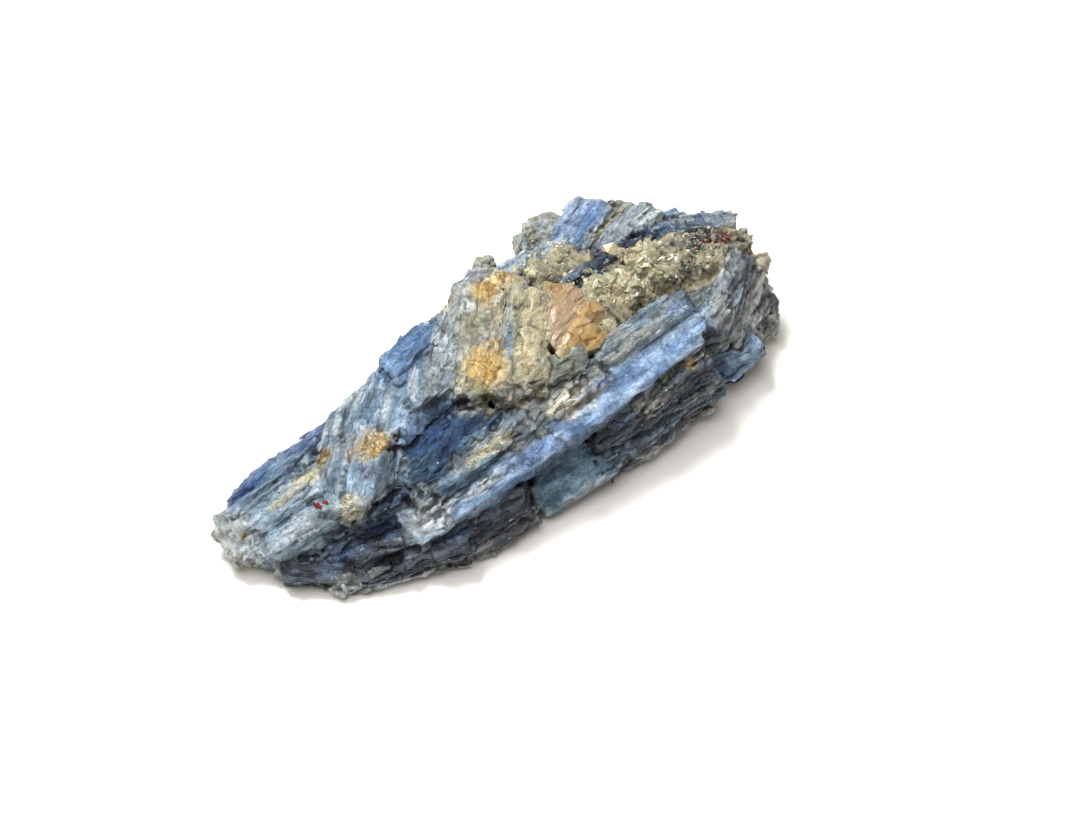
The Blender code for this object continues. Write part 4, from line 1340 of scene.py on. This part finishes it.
blocks = Blocks()
for blade in BLADES:
    if blade.name.startswith("core"):
        add_blade(blocks, blade, look_of(blade)._replace(lath=INNER_LATH), INNER_RING, ridges=False)
    else:
        add_blade(blocks, blade, look_of(blade)._replace(lath=LATH), RING, ridges=True)
for lump in LUMPS:
    add_lump(blocks, lump)
skin = Skin(*merged(blocks, VOXEL))
print("skin", len(skin.points), "points", len(skin.quads), "quads")
skin.points = skin.relaxed(skin.points, 5, 0.5)

# Each point goes to one crystal, and the grooves between the soft ones are worn down.
owner = owners(skin.points)
soft_index = [index for index, blade in enumerate(BLADES) if blade.name in SOFT_BLADES]
worn = skin.relaxed(np.isin(owner, soft_index).astype(float)[:, None], SOFT_ROUNDS)
skin.points = skin.points + WEAR * worn * (skin.relaxed(skin.points, SOFT_ROUNDS, 0.5) - skin.points)

# The relief is raised along the normals, and the seams between crystals are cut in.
relief, tints, light, grains = crystal_detail(skin.points, owner)
tints = skin.relaxed(tints, BLEND_ROUNDS)
border = np.bincount(skin.near, weights=owner[skin.near] != owner[skin.far], minlength=len(owner))
seams = np.minimum(border[:, None], 1) * (1 - 0.8 * worn) * (owner < len(BLADES))[:, None]
seams = skin.relaxed(seams, 2)
relief = skin.relaxed(relief[:, None], 1, 0.4)
skin.points = skin.points + skin.normals() * (relief - SEAM_DEPTH * seams)
skin.points[:, 2] = np.minimum(skin.points[:, 2], TOP_Z)
normals = skin.normals()

# How far each point lies below its near and its wider surroundings.
hollow = ((skin.relaxed(skin.points, 10) - skin.points) * normals).sum(1)
broad = ((skin.relaxed(skin.points, 60) - skin.points) * normals).sum(1)

# Stains go over the colours, then painted shade goes into the cracks, seams and hollows and a painted
# highlight onto the edges.
tints = with_stains_and_painted_light(skin.points, tints)
tints = tints * np.clip(light, 0.4, 1.7)[:, None] * (1 - SEAM_SHADE * seams)
# Painted highlight: the edges that stand out are paled, less on dark crystals.
edge_highlight_share = 0.45 * eased_step(-hollow, 0.03, 0.14) * eased_step(tints.mean(1), 0.02, 0.3)
edge_highlight_share = edge_highlight_share[:, None]
tints = tints * (1 - edge_highlight_share) + (0.55 * tints + 0.45 * linear(EDGE_HIGHLIGHT)) * edge_highlight_share
# Painted shade in the hollows, near and wide.
shadow = 1 - 0.4 * eased_step(hollow, 0.03, 0.2) - 0.15 * eased_step(broad, 0.1, 0.6)
tints = tints * np.clip(shadow, 0.3, 1.0)[:, None]

for number, name in enumerate(("kyanite_left", "kyanite_middle", "kyanite_right")):
    surface = Surface(name)
    surface.add(*split(skin, tints, grains, SKIN_CUTS[number], SKIN_CUTS[number + 1]))
    surface.build(KYANITE, "kyanite")
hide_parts("kyanite_cluster")

# ---------------------------------------------------------------- grains, flakes and garnets

SANDY = (SAND, SAND, OLIVE, CREAM, SAND, MILK, OLIVE)
GREYISH = (OLIVE, MOSS, SAND, ASH, OLIVE)
SLOPE_GREYS = GREYISH + (MILK, CHARCOAL, MOSS)
DARKISH = (CHARCOAL, ASH, BLACK, MOSS, CHARCOAL)
RUSTY = (ORANGE, OCHRE, ORANGE)
SUGARY = (OLIVE, SAND, CREAM, ASH, MILK)

# The peach crystal: the corners of its rim, its ridge, the middle of its buried foot.
PEACH_RIM = [
    (11.6, 5.6, 16.8), (15.0, 3.4, 16.6), (16.6, -1.6, 16.0), (15.4, -5.4, 15.4),
    (11.2, -7.6, 16.4), (5.4, -6.8, 17.6), (5.6, -2.2, 17.8),
]
PEACH_RIDGE = [(9.4, 1.2, 18.1), (12.4, -2.8, 18.0), (8.4, -4.6, 18.2)]
PEACH_FOOT = (11, -1.5, 11.5)
PEACH_TAPER = 0.8  # the foot's size against the rim's
PEACH_CUTS = 22

DRIFTS = [
    Drift("sandy slope", (22.5, 0.2, 14), (8.5, 3.9, 5), 900, (0.5, 1.7), SANDY),
    Drift("grey end of slope", (32, -1, 14), (6, 3.5, 5), 600, (0.3, 1.0), SLOPE_GREYS),
    Drift("grey-green edge", (25, -4.5, 14.5), (6, 1.6, 3), 260, (0.3, 0.9), GREYISH),
    Drift("back quartz", (19, 16.5, 10), (5, 4, 7), 420, (0.25, 0.7), GREYISH),
    Drift("back saddle", (14.5, 9.5, 14), (5, 4.4, 4), 600, (0.25, 0.8), SUGARY),
    Drift("dark band", (25, 4.6, 15), (11, 1.5, 3), 420, (0.2, 0.6), DARKISH),
    Drift("dark far band", (37, -1.5, 14), (5, 2.5, 3), 200, (0.18, 0.5), DARKISH + GREYISH),
    Drift("arm broken end", (-42, 2, 3.5), (2.5, 5, 4), 160, (0.2, 0.6), (PALE, ASH, PEARL, OLIVE)),
    Drift("arm sand", (-29.5, 3, 9), (3, 1.6, 2), 60, (0.15, 0.4), SANDY),
    Drift("ochre nodule", (-21.3, -0.6, 10.5), (2.6, 2.1, 2.5), 340, (0.5, 1.0), (OCHRE, OCHRE, SAND)),
    Drift("cream lump", (-27.8, -5.2, 9.2), (1.9, 1.5, 1.6), 220, (0.3, 0.7), SUGARY),
    Drift("upper orange", (4.3, 9.4, 16.3), (1.7, 1.7, 2), 40, (0.3, 0.7), RUSTY),
    Drift("lower orange", (-3, -1.3, 16), (2.5, 2.8, 2), 90, (0.3, 0.8), RUSTY),
    Drift("cream strip", (-9, -10.2, 12.6), (4.8, 1.0, 1.5), 260, (0.2, 0.5), SUGARY),
    Drift("centre sugar", (0, 1, 16.5), (7, 8, 3), 700, (0.12, 0.32), SUGARY),
    Drift("right end rim", (41.5, -3, 11), (2.5, 4.5, 3), 120, (0.2, 0.6), GREYISH),
    Drift("right end foot", (39, -6, 3), (4, 7, 3), 160, (0.2, 0.6), GREYISH + DARKISH),
]


def add_drift(surface, drift):
    """Angular grains packed over part of the skin."""
    rng = np.random.default_rng(seed_of(drift.name))
    away = (skin.points - np.array(drift.middle)) / np.array(drift.radii)
    reach = np.linalg.norm(away, axis=1) + 0.25 * noise_at(*(skin.points.T * 0.7))
    inside = np.flatnonzero((reach < 1) & (skin.points[:, 2] > 0.6))
    for pick in rng.choice(inside, drift.count):
        size = rng.uniform(*drift.sizes)
        colour = linear(drift.palette[rng.integers(len(drift.palette))])
        place = skin.points[pick] - normals[pick] * size * rng.uniform(0.5, 0.85)
        add_chip(surface, rng, place, size, colour)


def quartz_piece():
    """All the drifts of grains, as one piece."""
    surface = Surface("quartz_grains")
    for drift in DRIFTS:
        add_drift(surface, drift)
    return surface.build(QUARTZ_LOOK, "quartz", sharp=12.0)


def peach_shape():
    """One broken quartz crystal with a few broad faces, finely subdivided."""
    foot_x, foot_y, foot_z = PEACH_FOOT
    places = []
    for x, y, z in PEACH_RIM:
        below_x = foot_x + PEACH_TAPER * (x - foot_x)
        below_y = foot_y + PEACH_TAPER * (y - foot_y)
        places += [(x, y, z), (below_x, below_y, foot_z)]
    shape = hull_of(places + PEACH_RIDGE)
    bmesh.ops.subdivide_edges(shape, edges=shape.edges, cuts=PEACH_CUTS, use_grid_fill=True)
    bmesh.ops.triangulate(shape, faces=shape.faces)
    bmesh.ops.recalc_face_normals(shape, faces=shape.faces)
    shape.normal_update()
    outward = np.array([vertex.normal[:] for vertex in shape.verts])
    points, tris = arrays_of(shape)
    return points, outward, tris


def peach_piece():
    """The glassy peach crystal beside the centre, orange at its top corner and brown on its right side, with
    painted shade in its creases.
    """
    surface = Surface("quartz_peach")
    points, outward, tris = peach_shape()
    x, y, z = points.T
    broad, own = splinters((x + 0.2 * y) / 5.5 + z / 6.0, (y - 0.2 * x) / 2.2, 5)
    small, _ = splinters(x / 3.0 + z / 3, (y - 0.2 * x) / 0.9, 9)
    wave = noise_at(x * 0.8, y * 0.8, z * 0.8) + 0.5 * noise_at(x * 2.1, y * 2.1, z * 2.1)
    points = points + outward * (0.75 * broad + 0.25 * small + 0.06 * wave)[:, None]
    points[:, 2] = np.minimum(points[:, 2], TOP_Z + 0.1)
    brown = 0.8 * eased_step(0.4 * x - y + 2.0 * wave + 2.0 * (own - 0.5), 4.5, 11.0)[:, None]
    orange = 0.7 * eased_step(y + 0.8 * wave, 1.5, 4.5)[:, None]
    tints = smear(PEACH, OCHRE, 0.1 + 0.3 * wave + 0.3 * (own - 0.5))
    tints = tints * (1 - brown) + smear(OCHRE, RUST, 0.5 + 0.5 * wave) * brown
    tints = tints * (1 - orange) + linear(RUST) * orange
    tints = tints * (0.65 + 0.7 * own)[:, None]
    # Painted shade in dark creases that run across the crystal.
    fold = noise_at(y * 0.55 - x * 0.08, x * 0.16, z * 0.2) + 0.25 * noise_at(x * 0.9, y * 0.9, z * 0.9)
    crease_shade = 1 - eased_step(np.abs(fold), 0.0, 0.07)
    tints = tints * (1 - 0.55 * crease_shade)[:, None]
    from_middle = np.hypot((x - 10.8) / 5.6, (y + 1.2) / 7.4)
    rim = 0.6 * eased_step(from_middle + 0.16 * wave, 0.72, 0.98)[:, None]
    tints = tints * (1 - rim) + linear(OLIVE) * rim
    surface.add(points, tints, points * CHIP_GRAIN, tris=tris)
    return surface.build(QUARTZ_LOOK, "quartz", sharp=14.0)


def garnet_piece():
    """Three red garnets on the arm, and a row of dark ones in the mouth of the dark band."""
    surface = Surface("garnets")
    rng = np.random.default_rng(17)
    red = linear(GARNET_RED)
    dark = linear(RED)
    black = linear(BLACK)
    spots = [((-31.6, -1.9), 0.8, red), ((-31.0, -2.6), 0.55, red), ((-31.9, -1.2), 0.4, red)]
    for index in range(14):
        x = 34.6 + 0.3 * index
        y = -0.9 - 0.08 * index + rng.uniform(-0.5, 0.5)
        spots.append(((x, y), rng.uniform(0.45, 0.8), black if index % 3 == 2 else dark))
    for place, size, colour in spots:
        level = np.abs(skin.points[:, :2] - np.array(place)).max(1)
        near = np.flatnonzero(level < 0.4)
        top = skin.points[near[skin.points[near, 2].argmax()]]
        add_chip(surface, rng, top - np.array((0, 0, 0.3 * size)), size, colour, flat=0.95)
    return surface.build(GARNET, "garnet", sharp=12.0)


def flake_piece():
    """Fine splinters that lie on the outer crystals, in line with them; the white ones are painted glints.
    """
    surface = Surface("kyanite_flakes")
    rng = np.random.default_rng(29)
    axes = [blade_axes(blade)[0] for blade in BLADES]
    allowed = np.flatnonzero((owner < len(BLADES) - len(CORE)) & (skin.points[:, 2] > 1.0))
    tree = KDTree(len(skin.points))
    for index, point in enumerate(skin.points):
        tree.insert(point, index)
    tree.balance()
    for pick in rng.choice(allowed, FLAKE_COUNT):
        blade = BLADES[owner[pick]]
        if blade.name in CALM_BLADES and rng.random() < 0.75:
            continue
        size = rng.uniform(0.5, 2.2)
        run = blade_place(blade, skin.points[pick])[0]
        if not 0.5 * size + 0.6 < run < length_of(blade) - 0.5 * size - 0.6:
            continue
        half = rng.uniform(0.1, 0.4)
        thick = rng.uniform(0.04, 0.12)
        # The white ones, shorter and narrower, are painted glints.
        white = rng.random() < SPARKLES
        if white:
            size = 0.3 * size
            half = 0.4 * half
        place = skin.points[pick] + normals[pick] * rng.uniform(-0.08, 0.06)
        reach = 0.5 * size * axes[owner[pick]]
        if max(tree.find(place + reach)[2], tree.find(place - reach)[2]) > FLAKE_REACH:
            continue
        tint = linear(PEARL) if white else tints[pick] * rng.uniform(0.8, 1.3)
        seed = rng.random() * 90
        add_flake(surface, rng, place, normals[pick], axes[owner[pick]], size, half, thick, tint, seed)
    return surface.build(KYANITE, "kyanite", sharp=20.0)


quartz_piece()
peach_piece()
garnet_piece()
flake_piece()

# ---------------------------------------------------------------- floor, light and camera


LIT_PLACE = Vector((0, 0, 0.005))


def floor():
    """Off-white paper under the stone."""
    shape = bmesh.new()
    bmesh.ops.create_grid(shape, x_segments=1, y_segments=1, size=1.5)
    mesh = bpy.data.meshes.new("floor")
    shape.to_mesh(mesh)
    shape.free()
    made = bpy.data.objects.new("floor", mesh)
    bpy.context.scene.collection.objects.link(made)
    paper = Nodes("floor_paper")
    paper.shader.inputs["Base Color"].default_value = (0.93, 0.925, 0.91, 1.0)
    paper.shader.inputs["Roughness"].default_value = 0.9
    paper.shader.inputs["Specular IOR Level"].default_value = 0.0
    mesh.materials.append(paper.material)


def area_light(name, place, size, power, colour):
    """A round lamp aimed at the stone."""
    data = bpy.data.lights.new(name, "AREA")
    data.shape = "DISK"
    data.size = size
    data.energy = power
    data.color = colour
    made = bpy.data.objects.new(name, data)
    made.location = place
    aim = LIT_PLACE - Vector(place)
    made.rotation_mode = "QUATERNION"
    made.rotation_quaternion = aim.to_track_quat("-Z", "Y")
    bpy.context.scene.collection.objects.link(made)


floor()
world = bpy.data.worlds.new("studio")
world.use_nodes = True
studio = world.node_tree.nodes["Background"]
studio.inputs["Color"].default_value = (1.0, 0.9, 0.8, 1.0)
studio.inputs["Strength"].default_value = 0.32
bpy.context.scene.world = world
area_light("key", (-0.03, 0.27, 0.56), size=0.18, power=3.7, colour=(0.98, 0.99, 1.0))
area_light("fill", (-0.1, 0.0, 0.6), size=0.5, power=2.3, colour=(1.0, 0.98, 0.96))

# The camera, as near as can be told to where the photo was taken from.
AZIMUTH = -36.0
ELEVATION = 55.0
DISTANCE = 0.290
LENS = 70.0
SENSOR_WIDTH = 36.0
TARGET = Vector((1.9, -7.4, 8.0)) * MM

azimuth = math.radians(AZIMUTH)
elevation = math.radians(ELEVATION)
back_way = Vector(
    (
        math.sin(azimuth) * math.cos(elevation),
        -math.cos(azimuth) * math.cos(elevation),
        math.sin(elevation),
    )
)
camera_data = bpy.data.cameras.new("camera")
camera_data.lens = LENS
camera_data.sensor_width = SENSOR_WIDTH
camera_data.clip_start = 0.01
camera_data.clip_end = 10.0
camera = bpy.data.objects.new("camera", camera_data)
camera.location = TARGET + back_way * DISTANCE
camera.rotation_mode = "QUATERNION"
camera.rotation_quaternion = (-back_way).to_track_quat("-Z", "Y")
bpy.context.scene.collection.objects.link(camera)
bpy.context.scene.camera = camera
bpy.context.scene.view_settings.view_transform = "Standard"
